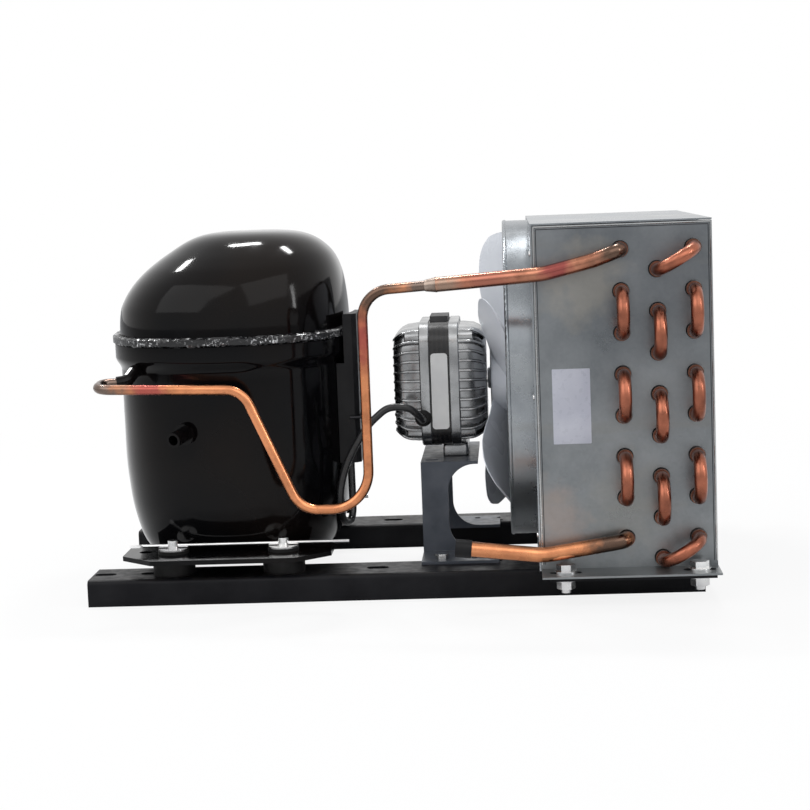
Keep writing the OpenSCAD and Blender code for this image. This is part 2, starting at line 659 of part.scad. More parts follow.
module fan_stator() color("#17171a") along_x(stack_left) difference() {
    linear_extrude(stack_len) difference() {
        rounded_square(rib_w, rim_corner);
        circle(d = stator_bore_d);
        for (s = [-1, 1]) translate([s * (stator_bore_d / 2 + coil_window_w * coil_share), 0])
            square([coil_window_w, stator_bore_d], center = true);
        for (x = [-1, 1]) for (y = [-1, 1]) translate([x * screw_place, y * screw_place])
            circle(d = motor_screw_d + 2 * fit_gap);
    }
}
coil_bulge = 6;
module fan_windings() color("#b5672c") along_x(stack_left - coil_bulge)
    for (s = [-1, 1]) translate([s * (stator_bore_d / 2 + coil_window_w * coil_share), 0, 0])
        linear_extrude(stack_len + 2 * coil_bulge)
            square([coil_window_w - 2 * soft_gap, stator_bore_d - 2 * soft_gap], center = true);
air_gap = 0.6;
rotor_over = 1;
module fan_rotor() color("#8c8f92") along_x(stack_left - rotor_over)
    ring(stator_bore_d - 2 * air_gap, fan_shaft_d, stack_len + 2 * rotor_over);
shaft_inset = 3;
shaft_over = 6;
hub_gap = 0.6;
hub_len = 17;
shaft_left_x = stack_left - rim_len - cover_len + shaft_inset;
hub_left_x = stack_right + rim_len + cover_len + hub_gap;
shaft_end_x = hub_left_x + hub_len + shaft_over;
bush_inset = 1;
module fan_shaft() color("#d0d2d4") along_x(shaft_left_x) cylinder(d = fan_shaft_d, h = shaft_end_x - shaft_left_x);
module fan_bushes() color("#a9772f") {
    for (x = [shaft_left_x + bush_inset, stack_right + rim_len + cover_len - bush_len - bush_inset])
        along_x(x) ring(bush_d - 2 * fit_gap, fan_shaft_d + 2 * fit_gap, bush_len);
}
screw_share = 0.55;
motor_screw_len = stack_len + 2 * rim_len + 2 * cover_len * screw_share;
module motor_screws() color("#c6c8ca") for (x = [-1, 1]) for (y = [-1, 1])
    along_x(stack_left - rim_len - cover_len * screw_share) translate([x * screw_place, y * screw_place, 0])
        cylinder(d = motor_screw_d, h = motor_screw_len);
strap_h = 3.6;
strap_half = 20;
module motor_strap() color("#26241f") translate([motor_x, 0, fan_z + rib_w / 2])
    rotate([90, 0, 90]) linear_extrude(stack_len - 2 * rib_inset, center = true)
    polygon([[-strap_half, 0], [strap_half, 0], [strap_half - strap_h, strap_h], [strap_h - strap_half, strap_h]]);

// Lead from the motor to the electrical box. The route's points are chosen by hand
lead_d = 4.8;
lead_sides = 10;
lead_route = [[16, -44, 106.5], [16, -50, 106.5], [14, -56, 110], [9, -60, 115], [2, -62, 117], [-6, -62, 116],
    [-13, -62, 111], [-19, -61, 105], [-24, -61, 98], [-29, -60, 90], [-33, -60, 82], [-36, -60, 74],
    [-38, -60, 66], [-39, -59, 58], [-39, -57, 50], [-38, -53, 43], [-36, -47, 40], [-34, -41, 41],
    [-33, -37, 46], [-33, -35.5, 54], [-33, -35.5, 62], [-33, -36, 71], [-33, -36, 80]];
module fan_lead() color("#111112") swept_tube(lead_route, lead_d / 2, lead_sides);
gland_flange = 3;
gland_lip = 1;
gland_flare = 1.5;
module lead_gland() color("#1b1b1d") translate([gland_x, gland_y - gland_flange, gland_z]) rotate([-90, 0, 0]) {
    cylinder(d1 = lead_d + 2 * gland_lip, d2 = gland_d + 2 * gland_flare, h = gland_flange);
    translate([0, 0, gland_flange]) cylinder(d = gland_d, h = gland_bore_len - gland_flange);
}

// Fan: hub cup, boss and pitched blades. Each row of shares gives the radius, half chord, and the two edges along X
hub_r = 25;
hub_wall = 2;
boss_r = 7;
blade_t = 1.6;
blade_depth = 31;
blade_lead = 4;
blade_left_x = hub_left_x - blade_lead;
blade_half_angle = 26;
fan_turn = 2;
hub_step = 2;
blade_rows_shares = [[0.24, 1, 0.24, 0.66], [0.4, 1, 0.17, 0.75], [0.56, 1, 0.06, 0.86], [0.72, 1, 0, 0.95],
    [0.86, 0.98, 0.02, 1], [0.95, 0.88, 0.1, 0.98], [1, 0.7, 0.25, 0.87]];
blade_steps = 8;
blade_camber = 4;
function blade_point(row, k, side) =
    let (s = k / blade_steps, r = fan_d / 2 * row[0], a = (s - 0.5) * 2 * blade_half_angle * row[1],
        bow = blade_camber * row[0] * (1 - pow(2 * s - 1, 2)))
    let (x = blade_left_x + blade_depth * (row[2] + (row[3] - row[2]) * s) + bow)
    [-r * sin(a), r * cos(a), x + side * blade_t / 2];
function blade_ring(row) = concat([for (k = [0 : blade_steps]) blade_point(row, k, -1)],
    [for (k = [blade_steps : -1 : 0]) blade_point(row, k, 1)]);
module blade() loft([for (row = blade_rows_shares) blade_ring(row)]);
module fan() color("#d5d8da") along_x(0) difference() {
    union() {
        for (i = [0 : blade_count - 1]) rotate(fan_turn + 360 * i / blade_count) blade();
        translate([0, 0, hub_left_x + hub_step]) cylinder(r = hub_r, h = hub_len - hub_step);
        translate([0, 0, hub_left_x]) cylinder(r = boss_r, h = hub_len + hub_step);
    }
    translate([0, 0, hub_left_x + hub_step + hub_wall]) ring(2 * (hub_r - hub_wall), 2 * boss_r, hub_len);
    translate([0, 0, hub_left_x - cut]) cylinder(d = fan_shaft_d, h = hub_len + hub_step + 2 * cut);
}
nut_af = 9;
nut_h = 3.6;
module fan_nut() color("#c6c8ca") along_x(hub_left_x + hub_len + hub_step) difference() {
    hexagon_prism(nut_af, nut_h);
    translate([0, 0, -cut]) cylinder(d = fan_shaft_d, h = nut_h + 2 * cut);
}

// Bracket under the motor: a bridge with two cut-out legs and outward feet
bracket_back = 14.2;
bracket_left_x = motor_x - bracket_back;
column_w = 17.5;
bracket_foot_len = 50;
bracket_top_len = 37.5;
notch_r = 17.7;
bracket_foot_y = 35;
bracket_hole_y = 13;
bracket_screw_d = 4.8;
bracket_screw_inset = 13.2;
bracket_screw_x = [bracket_left_x + bracket_screw_inset];
module leg_outline() difference() {
    union() {
        translate([0, rail_h]) square([bracket_foot_len, bracket_t]);
        translate([0, rail_h]) square([column_w + notch_r, bracket_top_z - rail_h]);
        translate([0, bracket_top_z - bracket_t]) square([bracket_top_len, bracket_t]);
    }
    translate([column_w + notch_r, rail_h + bracket_t + notch_r]) circle(r = notch_r);
    translate([column_w + notch_r, bracket_top_z - bracket_t - notch_r]) circle(r = notch_r);
    translate([column_w, rail_h + bracket_t + notch_r])
        square([notch_r + cut, bracket_top_z - rail_h - 2 * bracket_t - 2 * notch_r]);
}
top_slot_len = 9;
top_slot_x = 7;
top_slot_inset = 10;
module motor_bracket() color("#2f333b") difference() {
    translate([bracket_left_x, 0, 0]) {
        for (s = [0, 1]) mirror([0, s, 0]) {
            translate([0, -bracket_depth / 2 + bracket_t, 0]) rotate([90, 0, 0])
                linear_extrude(bracket_t) leg_outline();
            translate([0, -bracket_depth / 2 - bracket_foot_y, rail_h])
                cube([bracket_foot_len, bracket_foot_y + bracket_t, bracket_t]);
        }
        translate([0, -bracket_depth / 2, bracket_top_z - bracket_t])
            cube([bracket_top_len, bracket_depth, bracket_t]);
    }
    for (x = bracket_screw_x) for (s = [-1, 1]) translate([x, s * (rail_y - bracket_hole_y), rail_h - cut])
        cylinder(d = bracket_screw_d + 2 * fit_gap, h = bracket_t + 2 * cut);
    for (x = small_hole_places) for (s = [-1, 1])
        translate([left_x + x, s * (rail_y - bracket_hole_y), rail_h - cut])
        cylinder(d = small_hole_d, h = bracket_t + 2 * cut);
    for (s = [-1, 1]) translate([motor_x + foot_block_w / 2, s * foot_screw_y, bracket_top_z - bracket_t - cut])
        cylinder(d = foot_screw_d + 2 * fit_gap, h = bracket_t + 2 * cut);
    for (y = [-1, 1])
        translate([bracket_left_x + top_slot_x, y * (bracket_depth / 2 - top_slot_inset),
            bracket_top_z - bracket_t - cut])
        linear_extrude(bracket_t + 2 * cut) slot_2d(small_hole_d, top_slot_len);
}
module screw(d, head_af, head_h, len) {
    cylinder(d = d, h = len + cut);
    translate([0, 0, len]) hexagon_prism(head_af, head_h);
}
screw_under = 4;
bracket_screw_af = 8;
bracket_screw_head = 3.4;
foot_screw_sink = 1;
foot_screw_af = 7;
foot_screw_head = 2.8;
module bracket_screws() color("#c6c8ca") for (x = bracket_screw_x) for (s = [-1, 1])
    translate([x, s * (rail_y - bracket_hole_y), rail_h - rail_t - screw_under])
    screw(bracket_screw_d, bracket_screw_af, bracket_screw_head, rail_t + screw_under + bracket_t);
module motor_foot_screws() color("#c6c8ca") for (s = [-1, 1])
    translate([motor_x + foot_block_w / 2, s * foot_screw_y, bracket_top_z + foot_drop - foot_screw_sink])
    rotate([180, 0, 0])
    screw(foot_screw_d, foot_screw_af, foot_screw_head, foot_drop - foot_screw_sink + bracket_t);

// Condenser casing
shroud_side_gap = 0.2;
shroud_top_gap = 0.4;
shroud_left_x = plate_left_x - shroud_t - shroud_side_gap;
shroud_top_z = plate_top_z + shroud_top_gap + shroud_t;
shroud_bottom_z = shelf_top_z;
shroud_half_y = plate_y;
ring_r = ring_d / 2;
ring_bead = 1;
lip = 8;
module shroud() color("#aeb3b6") difference() {
    union() {
        difference() {
            translate([shroud_left_x, -shroud_half_y, shroud_bottom_z])
                cube([right_x - shroud_left_x, 2 * shroud_half_y, shroud_top_z - shroud_bottom_z]);
            translate([shroud_left_x + shroud_t, -shroud_half_y - cut, shroud_bottom_z + shroud_t])
                cube([plate_w + shroud_t + cut, 2 * shroud_half_y + 2 * cut,
                    shroud_top_z - shroud_bottom_z - 2 * shroud_t]);
        }
        along_x(shroud_left_x - ring_len) {
            cylinder(r = ring_r, h = ring_len + shroud_t);
            rotate_extrude() translate([ring_r - shroud_t, ring_bead])
                circle(r = ring_bead + shroud_t / 2, $fn = 24);
        }
    }
    for (s = [0, 1]) mirror([0, s, 0]) translate([shroud_left_x + shroud_t, -plate_y - cut, shroud_bottom_z - cut])
        cube([plate_w + 2 * cut, plate_t + soft_gap + cut, shroud_t + 2 * cut]);
    along_x(shroud_left_x - ring_len - 2 * ring_bead - cut)
        cylinder(r = ring_r - shroud_t - ring_bead / 2, h = ring_len + shroud_t + 3 * ring_bead + 2 * cut);
}
rivet_d = 3.4;
rivet_head = 1;
rivet_places = [22, 108, 196];
module shroud_rivets() color("#8d9194") for (z = rivet_places) for (s = [-1, 1])
    translate([shroud_left_x - rivet_head, s * (plate_y - lip / 2), shelf_top_z + z]) rotate([0, 90, 0])
        cylinder(d = rivet_d, h = rivet_head);

// Coil geometry: three staggered rows, the middle row half a pitch lower
coil_inset = 11.6;
top_tube_drop = 15.6;
row_x = [for (i = [0 : 2]) right_x - coil_inset - (2 - i) * row_pitch];
top_tube_z = plate_top_z - top_tube_drop;
function tube_z(col, k) = top_tube_z - (col == 1 ? tube_pitch / 2 : 0) - k * tube_pitch;
module at_tubes() for (col = [0 : 2]) for (k = [0 : tubes_per_row - 1])
    translate([row_x[col], 0, tube_z(col, k)]) children();
plate_hole_gap = 0.55;
plate_hole_d = bell_d + 2 * plate_hole_gap;
flange_slot_len = 20;
module endplate() difference() {
    union() {
        translate([plate_left_x, -plate_y, shelf_top_z]) cube([plate_w, plate_t, plate_top_z - shelf_top_z]);
        translate([plate_left_x, -plate_y - plate_foot + plate_t, shelf_top_z])
            cube([plate_w, plate_foot, plate_t]);
        translate([plate_left_x, -plate_y, plate_top_z - plate_t]) cube([plate_w, lip, plate_t]);
        translate([plate_left_x, -plate_y, shelf_top_z + lip])
            cube([plate_t, lip, plate_top_z - shelf_top_z - lip]);
    }
    for (col = [0 : 2]) for (k = [0 : tubes_per_row - 1])
        translate([row_x[col], -plate_y - cut, tube_z(col, k)]) rotate([-90, 0, 0])
            cylinder(d = plate_hole_d, h = plate_t + 2 * cut);
    for (x = condenser_bolt_x) translate([x, -condenser_bolt_y, shelf_top_z - cut])
        linear_extrude(plate_t + 2 * cut) slot_2d(bolt_hole_d, flange_slot_len);
}
module front_endplate() color("#9ba1a4") endplate();
module rear_endplate() color("#9ba1a4") mirror([0, 1, 0]) endplate();
fin_left_x = row_x[0] - row_pitch / 2;
fin_w = 3 * row_pitch;
fin_bottom_z = shroud_bottom_z + shroud_t + soft_gap;
fin_top_z = plate_top_z - plate_t - soft_gap;
fin_span = plate_gap - 2 * plate_t - 2 * lip - 2 * soft_gap;
module fin_outline() difference() {
    translate([fin_left_x, fin_bottom_z]) square([fin_w, fin_top_z - fin_bottom_z]);
    for (col = [0 : 2]) for (k = [0 : tubes_per_row - 1])
        translate([row_x[col], tube_z(col, k)]) circle(d = tube_d + 2 * fit_gap, $fn = 24);
}
module fin_pack() color("#c3c6c8") for (i = [0 : fin_count - 1])
    translate([0, -fin_span / 2 + fin_t + i * (fin_span - fin_t) / (fin_count - 1), 0])
        rotate([90, 0, 0]) linear_extrude(fin_t) fin_outline();

// Tubes: straight runs with bells on the pipe side and hairpins on the far side
bell_len = 5;
bend_leg = 5;
tube_end_y = -plate_y - bell_len + cut;
module u_bend(p, q, y, side, leg) {
    mid = (p + q) / 2;
    d = q - p;
    translate([mid[0], y, mid[1]]) rotate([0, -atan2(d[1], d[0]), 0]) {
        translate([0, side * leg, 0]) rotate([0, 0, side > 0 ? 0 : 180])
            rotate_extrude(angle = 180) translate([norm(d) / 2, 0]) circle(d = tube_d, $fn = 24);
        for (s = [-1, 1]) translate([s * norm(d) / 2, 0, 0]) rotate([-90 * side, 0, 0])
            cylinder(d = tube_d, h = leg, $fn = 24);
    }
}
function place(col, k) = [row_x[col], tube_z(col, k)];
rear_pairs = [[[0, 0], [1, 0]], [[0, 1], [1, 1]], [[0, 2], [0, 3]], [[0, 4], [0, 5]], [[0, 6], [0, 7]],
    [[1, 2], [1, 3]], [[1, 4], [1, 5]], [[1, 6], [1, 7]], [[2, 0], [2, 1]], [[2, 2], [2, 3]],
    [[2, 4], [2, 5]], [[2, 6], [2, 7]]];
front_pairs = [[[0, 1], [0, 2]], [[0, 3], [0, 4]], [[0, 5], [0, 6]], [[1, 1], [1, 2]], [[1, 3], [1, 4]],
    [[1, 5], [1, 6]], [[2, 1], [2, 2]], [[2, 3], [2, 4]], [[2, 5], [2, 6]], [[1, 0], [2, 0]], [[1, 7], [2, 7]]];
module hairpin_tubes() color("#b8693c") difference() {
    union() {
        for (pair = rear_pairs) u_bend(place(pair[0][0], pair[0][1]), place(pair[1][0], pair[1][1]), tube_end_y, 1,
            plate_y - tube_end_y + bend_leg);
        at_tubes() translate([0, tube_end_y, 0]) rotate([-90, 0, 0]) cylinder(d = bell_d, h = bell_len, $fn = 24);
    }
    at_tubes() translate([0, tube_end_y - cut, 0]) rotate([-90, 0, 0])
        cylinder(d = tube_d + 2 * fit_gap, h = bell_len, $fn = 24);
}
module return_bends() color("#b8693c") for (pair = front_pairs) u_bend(place(pair[0][0], pair[0][1]),
    place(pair[1][0], pair[1][1]), tube_end_y + bell_len - cut, -1, bend_leg + bell_len - cut);

// Bolts, washers and nuts that hold the condenser to its shelf
bolt_washer_d = 14;
bolt_washer_t = 1.5;
bolt_head_h = 4;
bolt_af = 10;
flange_top_z = shelf_top_z + plate_t;
bolt_over = 3.5;
bolt_nut_h = 5;
bolt_bottom_z = rail_h - bolt_washer_t - bolt_head_h - bolt_over;
module at_bolts() for (x = condenser_bolt_x) for (s = [-1, 1]) translate([x, s * condenser_bolt_y, 0]) children();
module condenser_bolts() color("#d6d8da") at_bolts() {
    translate([0, 0, bolt_bottom_z])
        cylinder(d = condenser_bolt_d, h = flange_top_z + bolt_washer_t - bolt_bottom_z + cut);
    translate([0, 0, flange_top_z + bolt_washer_t]) hexagon_prism(bolt_af, bolt_head_h);
}
module condenser_washers() color("#c2c5c8") at_bolts() for (z = [flange_top_z, rail_h - bolt_washer_t])
    translate([0, 0, z]) ring(bolt_washer_d, bolt_hole_d, bolt_washer_t);
module condenser_nuts() color("#d6d8da") at_bolts()
    translate([0, 0, rail_h - bolt_washer_t - bolt_nut_h]) difference() {
    hexagon_prism(bolt_af, bolt_nut_h);
    translate([0, 0, -cut]) cylinder(d = condenser_bolt_d, h = bolt_nut_h + 2 * cut);
}

// Pipes: the discharge line round the compressor, its larger tail, and the liquid outlet
loop_out = 9;
riser_back = 43.7;
loop_x = discharge_end[0] - loop_out;
riser_x = motor_x - riser_back;
dip_z = 59.5;
run_z = 136.3;
riser_top_z = 195;
tail_out = 9;
tail_y = plate_y + tail_out;
inlet_hole = [row_x[0], -plate_y - 2 * plate_t, tube_z(0, 0)];
outlet_hole = [row_x[0], -plate_y - 2 * plate_t, tube_z(0, tubes_per_row - 1)];
riser_top = [riser_x, -pipe_front, riser_top_z];
tail_run = [60, -9, 4];
tail_first = riser_top + tail_run;
joint_share = 0.78;
joint = riser_top + (tail_first - riser_top) * joint_share;
loop_drop = 2;
run_fall = 3;
run_end = 17;
dip_start = 50.5;
discharge_route = [discharge_end, [loop_x, discharge_end[1] - loop_drop, discharge_end[2]],
    [loop_x, -pipe_front, run_z + run_fall], [shell_x + run_end, -pipe_front, run_z],
    [shell_x + dip_start, -pipe_front, dip_z], [riser_x, -pipe_front, dip_z], riser_top, joint];
discharge_radii = [0, 7, 9, 16, 18, 24, 18, 0];
module discharge_pipe() color("#b8693c") bent_pipe(discharge_route, discharge_radii, pipe_d / 2);
inlet_corner = [row_x[0], -tail_y, inlet_hole[2]];
inlet_runs = [[-47, 0, -13], [-17, 0, -6]];
inlet_route = [joint, tail_first, inlet_corner + inlet_runs[0], inlet_corner + inlet_runs[1], inlet_corner,
    inlet_hole];
inlet_radii = [0, 40, 40, 30, 7, 0];
tail_slack = 0.2;
module inlet_pipe() color("#b8693c") bent_pipe(inlet_route, inlet_radii, tail_d / 2 - tail_slack);
outlet_corner = [row_x[0], -tail_y, outlet_hole[2]];
outlet_runs = [[-104, 0, -1.8], [-51, 0, -7.7]];
outlet_end = outlet_corner + outlet_runs[0];
outlet_route = [outlet_end, outlet_corner + outlet_runs[1], outlet_corner, outlet_hole];
outlet_radii = [0, 40, 7, 0];
module outlet_pipe() color("#b8693c") bent_pipe(outlet_route, outlet_radii, tail_d / 2);
cap_len = 10;
cap_wall = 0.8;
outlet_dir = unit(outlet_route[1] - outlet_end);
module outlet_cap() color("#101012") {
    start = outlet_end - outlet_dir * (cap_wall * 2);
    translate(start) rotate([0, acos(outlet_dir[2]), atan2(outlet_dir[1], outlet_dir[0])]) difference() {
        cylinder(d = tail_d + 2 * cap_wall, h = cap_len);
        translate([0, 0, cap_wall * 2]) cylinder(d = tail_d + 2 * fit_gap, h = cap_len);
    }
}
braze_len = 7;
braze_lip = 0.4;
module sleeve_at(p, dir, d_in, d_out, len) translate(p)
    rotate([0, acos(dir[2]), atan2(dir[1], dir[0])]) difference() {
        cylinder(d1 = d_in + 2 * braze_lip, d2 = d_out, h = len);
        translate([0, 0, -cut]) cylinder(d = d_in + 2 * fit_gap, h = len + 2 * cut);
    }
module braze_joints() color("#c9b58f") {
    dir = unit(tail_first - riser_top);
    sleeve_at(joint - dir * braze_len, dir, pipe_d, tail_d, braze_len);
}

front_rail();
rear_rail();
condenser_shelf();
rail_studs();
grommets();
grommet_sleeves();
grommet_washers();
retaining_rods();
compressor_feet();
lower_shell();
upper_shell();
shell_weld();
discharge_stub();
suction_stub();
process_stub();
terminal_cover();
terminal_clip();
terminal_block();
start_relay();
pump_stator();
pump_windings();
pump_rotor();
crankshaft();
pump_block();
cylinder_head();
piston();
connecting_rod();
suspension_springs();
rear_motor_cover();
front_motor_cover();
fan_stator();
fan_windings();
fan_rotor();
fan_shaft();
fan_bushes();
motor_screws();
motor_strap();
lead_gland();
fan_lead();
fan();
fan_nut();
motor_bracket();
bracket_screws();
motor_foot_screws();
shroud();
shroud_rivets();
front_endplate();
rear_endplate();
fin_pack();
hairpin_tubes();
return_bends();
condenser_bolts();
condenser_washers();
condenser_nuts();
discharge_pipe();
inlet_pipe();
outlet_pipe();
outlet_cap();
braze_joints();
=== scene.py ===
"""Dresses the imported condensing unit: finishes, smooth shells, pipes, fan, motor castings and fine fins."""

import json
import logging
import math
from abc import ABC, abstractmethod
from dataclasses import dataclass
from enum import Enum
from typing import Callable, Sequence

import bmesh
import bpy
import numpy as np
from mathutils import Matrix, Vector

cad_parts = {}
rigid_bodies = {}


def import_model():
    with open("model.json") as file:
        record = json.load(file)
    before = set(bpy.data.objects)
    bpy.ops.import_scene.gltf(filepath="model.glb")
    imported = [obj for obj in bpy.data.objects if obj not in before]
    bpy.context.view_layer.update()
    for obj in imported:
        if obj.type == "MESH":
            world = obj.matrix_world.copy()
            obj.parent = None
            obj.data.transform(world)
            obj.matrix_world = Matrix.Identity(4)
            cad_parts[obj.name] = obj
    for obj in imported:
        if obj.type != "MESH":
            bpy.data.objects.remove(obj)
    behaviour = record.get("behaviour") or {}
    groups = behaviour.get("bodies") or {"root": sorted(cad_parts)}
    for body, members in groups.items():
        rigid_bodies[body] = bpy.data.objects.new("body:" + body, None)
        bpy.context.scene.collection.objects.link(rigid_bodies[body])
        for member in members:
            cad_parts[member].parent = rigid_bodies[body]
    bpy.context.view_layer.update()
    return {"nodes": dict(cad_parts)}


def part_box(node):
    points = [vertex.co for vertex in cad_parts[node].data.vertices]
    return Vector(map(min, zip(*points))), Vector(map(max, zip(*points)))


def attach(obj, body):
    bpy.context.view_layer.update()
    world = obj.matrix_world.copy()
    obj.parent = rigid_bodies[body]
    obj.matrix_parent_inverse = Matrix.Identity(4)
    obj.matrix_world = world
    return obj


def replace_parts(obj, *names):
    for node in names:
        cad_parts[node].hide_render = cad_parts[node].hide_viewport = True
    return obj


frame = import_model()

log = logging.getLogger("condensing_unit")
MM = 0.001
TINY = 1e-9
Colour = tuple[float, float, float]
Point = tuple[float, float, float]
Socket = bpy.types.NodeSocket


class Body(Enum):
    """Rigid bodies that a piece can ride on."""

    UNIT = "unit"
    ROTOR = "fan_rotor_body"


class Axis(Enum):
    """Directions of the row frame, by the name of a node's socket."""

    X = "X"
    Y = "Y"
    Z = "Z"


class Step(Enum):
    """Arithmetic that a node can do."""

    ADD = "ADD"
    MULTIPLY = "MULTIPLY"


@dataclass(frozen=True)
class Mottle:
    """Cloudy pattern of `scale` cells per metre, whose `low` to `high` part fills its whole range."""

    scale: float
    detail: float = 3.0
    low: float = 0.3
    high: float = 0.7
    rough: float = 0.5


@dataclass(frozen=True)
class Mark:
    """Stain, heat colour or painted reflection that fades out round a point; `place` and `reach` are in
    millimetres.
    """

    place: Point
    reach: float
    tint: Colour


class Graph:
    """Small helper that builds one node material around a Principled shader.

    MIX_COLOURS and MIX_RESULT are the colour sockets of Blender's Mix node. MARK_EDGE, MARK_FRAY and MARK_CORE
    shape the ragged edge of a mark, as shares of its reach.
    """

    MIX_COLOURS = (6, 7)
    MIX_RESULT = 2
    MARK_EDGE = Mottle(90.0, 4.0)
    MARK_FRAY = 0.3
    MARK_CORE = 0.35

    def __init__(self, name: str) -> None:
        """Makes an empty material with a shader and an output.

        Args:
            name: Name of the material.
        """
        self.material = bpy.data.materials.new(name)
        self.material.use_nodes = True
        self.tree = self.material.node_tree
        self.tree.nodes.clear()
        self.output = self.tree.nodes.new("ShaderNodeOutputMaterial")
        self.shader = self.tree.nodes.new("ShaderNodeBsdfPrincipled")
        self.link(self.shader.outputs[0], self.output.inputs[0])
        self.place = self.tree.nodes.new("ShaderNodeTexCoord").outputs["Object"]

    def link(self, source: Socket, target: Socket) -> None:
        """Links one socket to another."""
        self.tree.links.new(source, target)

    def along(self, axis: Axis) -> Socket:
        """Coordinate along one axis.

        Args:
            axis: The axis.

        Returns:
            The coordinate in metres.
        """
        node = self.tree.nodes.new("ShaderNodeSeparateXYZ")
        self.link(self.place, node.inputs[0])
        return node.outputs[axis.value]

    def upward(self) -> Socket:
        """How far the surface faces up.

        Returns:
            The height of the surface's normal, 1 on a level top.
        """
        geometry = self.tree.nodes.new("ShaderNodeNewGeometry")
        node = self.tree.nodes.new("ShaderNodeSeparateXYZ")
        self.link(geometry.outputs["Normal"], node.inputs[0])
        return node.outputs[Axis.Z.value]

    def stretched(self, scale: Point) -> Socket:
        """Object coordinates scaled along each axis.

        Args:
            scale: Factor for X, Y and Z.

        Returns:
            The scaled coordinates.
        """
        node = self.tree.nodes.new("ShaderNodeMapping")
        node.inputs["Scale"].default_value = scale
        self.link(self.place, node.inputs["Vector"])
        return node.outputs[0]

    def noise(self, scale: float, detail: float = 3.0, rough: float = 0.5,
              vector: Socket | None = None) -> Socket:
        """Noise value between 0 and 1.

        Args:
            scale: Cells per metre.
            detail: Octaves of finer noise.
            rough: Strength of the finer octaves.
            vector: Coordinates, or None for the object's own.

        Returns:
            The noise value.
        """
        node = self.tree.nodes.new("ShaderNodeTexNoise")
        node.inputs["Scale"].default_value = scale
        node.inputs["Detail"].default_value = detail
        node.inputs["Roughness"].default_value = rough
        self.link(vector or self.place, node.inputs["Vector"])
        return node.outputs["Fac"]

    def mottle(self, pattern: Mottle, start: float = 0.0, end: float = 1.0,
               vector: Socket | None = None) -> Socket:
        """Value that a cloudy pattern gives.

        Args:
            pattern: The pattern.
            start: Lowest output.
            end: Highest output.
            vector: Coordinates, or None for the object's own.

        Returns:
            The value.
        """
        cloud = self.noise(pattern.scale, pattern.detail, pattern.rough, vector)
        return self.ramp(cloud, pattern.low, pattern.high, start, end)

    def spangle(self, scale: float) -> Socket:
        """Grey that differs from one crystal to the next.

        Args:
            scale: Crystals per metre.

        Returns:
            The grey value.
        """
        cells = self.tree.nodes.new("ShaderNodeTexVoronoi")
        cells.inputs["Scale"].default_value = scale
        self.link(self.place, cells.inputs["Vector"])
        grey = self.tree.nodes.new("ShaderNodeRGBToBW")
        self.link(cells.outputs["Color"], grey.inputs[0])
        return grey.outputs[0]

    def ramp(self, value: Socket, low: float, high: float, start: float = 0.0, end: float = 1.0) -> Socket:
        """Maps a value from low..high to start..end and clamps it.

        Args:
            value: Socket to map.
            low: Input that gives start.
            high: Input that gives end.
            start: Lowest output.
            end: Highest output.

        Returns:
            The mapped value.
        """
        node = self.tree.nodes.new("ShaderNodeMapRange")
        node.inputs["From Min"].default_value = low
        node.inputs["From Max"].default_value = high
        node.inputs["To Min"].default_value = start
        node.inputs["To Max"].default_value = end
        self.link(value, node.inputs["Value"])
        return node.outputs[0]

    def mix(self, factor: Socket, first: Colour | Socket, second: Colour | Socket) -> Socket:
        """Mixes two colours.

        Args:
            factor: 0 gives the first colour and 1 the second.
            first: Colour or colour socket.
            second: Colour or colour socket.

        Returns:
            The mixed colour.
        """
        node = self.tree.nodes.new("ShaderNodeMix")
        node.data_type = "RGBA"
        self.link(factor, node.inputs[0])
        for index, colour in zip(self.MIX_COLOURS, (first, second)):
            if isinstance(colour, Socket):
                self.link(colour, node.inputs[index])
            else:
                node.inputs[index].default_value = (*colour, 1.0)
        return node.outputs[self.MIX_RESULT]

    def math(self, step: Step, first: Socket, second: Socket | float) -> Socket:
        """One arithmetic step.

        Args:
            step: What is done with the two values.
            first: First value.
            second: Second value.

        Returns:
            The result.
        """
        node = self.tree.nodes.new("ShaderNodeMath")
        node.operation = step.value
        self.link(first, node.inputs[0])
        if isinstance(second, Socket):
            self.link(second, node.inputs[1])
        else:
            node.inputs[1].default_value = second
        return node.outputs[0]

    def near(self, mark: Mark) -> Socket:
        """Falls from 1 at a mark's place to 0 at its reach, with a ragged edge.

        Args:
            mark: The mark.

        Returns:
            The value.
        """
        reach = mark.reach * MM
        node = self.tree.nodes.new("ShaderNodeVectorMath")
        node.operation = "DISTANCE"
        self.link(self.place, node.inputs[0])
        node.inputs[1].default_value = [c * MM for c in mark.place]
        fray = self.mottle(self.MARK_EDGE, -self.MARK_FRAY * reach, self.MARK_FRAY * reach)
        away = self.math(Step.ADD, node.outputs["Value"], fray)
        return self.ramp(away, self.MARK_CORE * reach, reach, 1.0, 0.0)

    def height(self, value: Socket, strength: float, distance: float, edge: float = 0.0) -> None:
        """Adds bump from a height value, and rounds edges where asked.

        Args:
            value: Height.
            strength: Share of the bump that shows.
            distance: Height of the bump in metres.
            edge: Radius of rounded edges in metres, or 0.
        """
        node = self.tree.nodes.new("ShaderNodeBump")
        node.inputs["Strength"].default_value = strength
        node.inputs["Distance"].default_value = distance
        self.link(value, node.inputs["Height"])
        if edge > 0:
            rounded = self.tree.nodes.new("ShaderNodeBevel")
            rounded.samples = 4
            rounded.inputs["Radius"].default_value = edge
            self.link(rounded.outputs[0], node.inputs["Normal"])
        self.link(node.outputs[0], self.shader.inputs["Normal"])

    def paint(self, colour: Socket, roughness: Socket, metallic: float = 0.0) -> None:
        """Feeds the shader's main sockets.

        Args:
            colour: Base colour.
            roughness: Roughness.
            metallic: 1 for bare metal and 0 for paint or plastic.
        """
        self.link(colour, self.shader.inputs["Base Color"])
        self.link(roughness, self.shader.inputs["Roughness"])
        self.shader.inputs["Metallic"].default_value = metallic


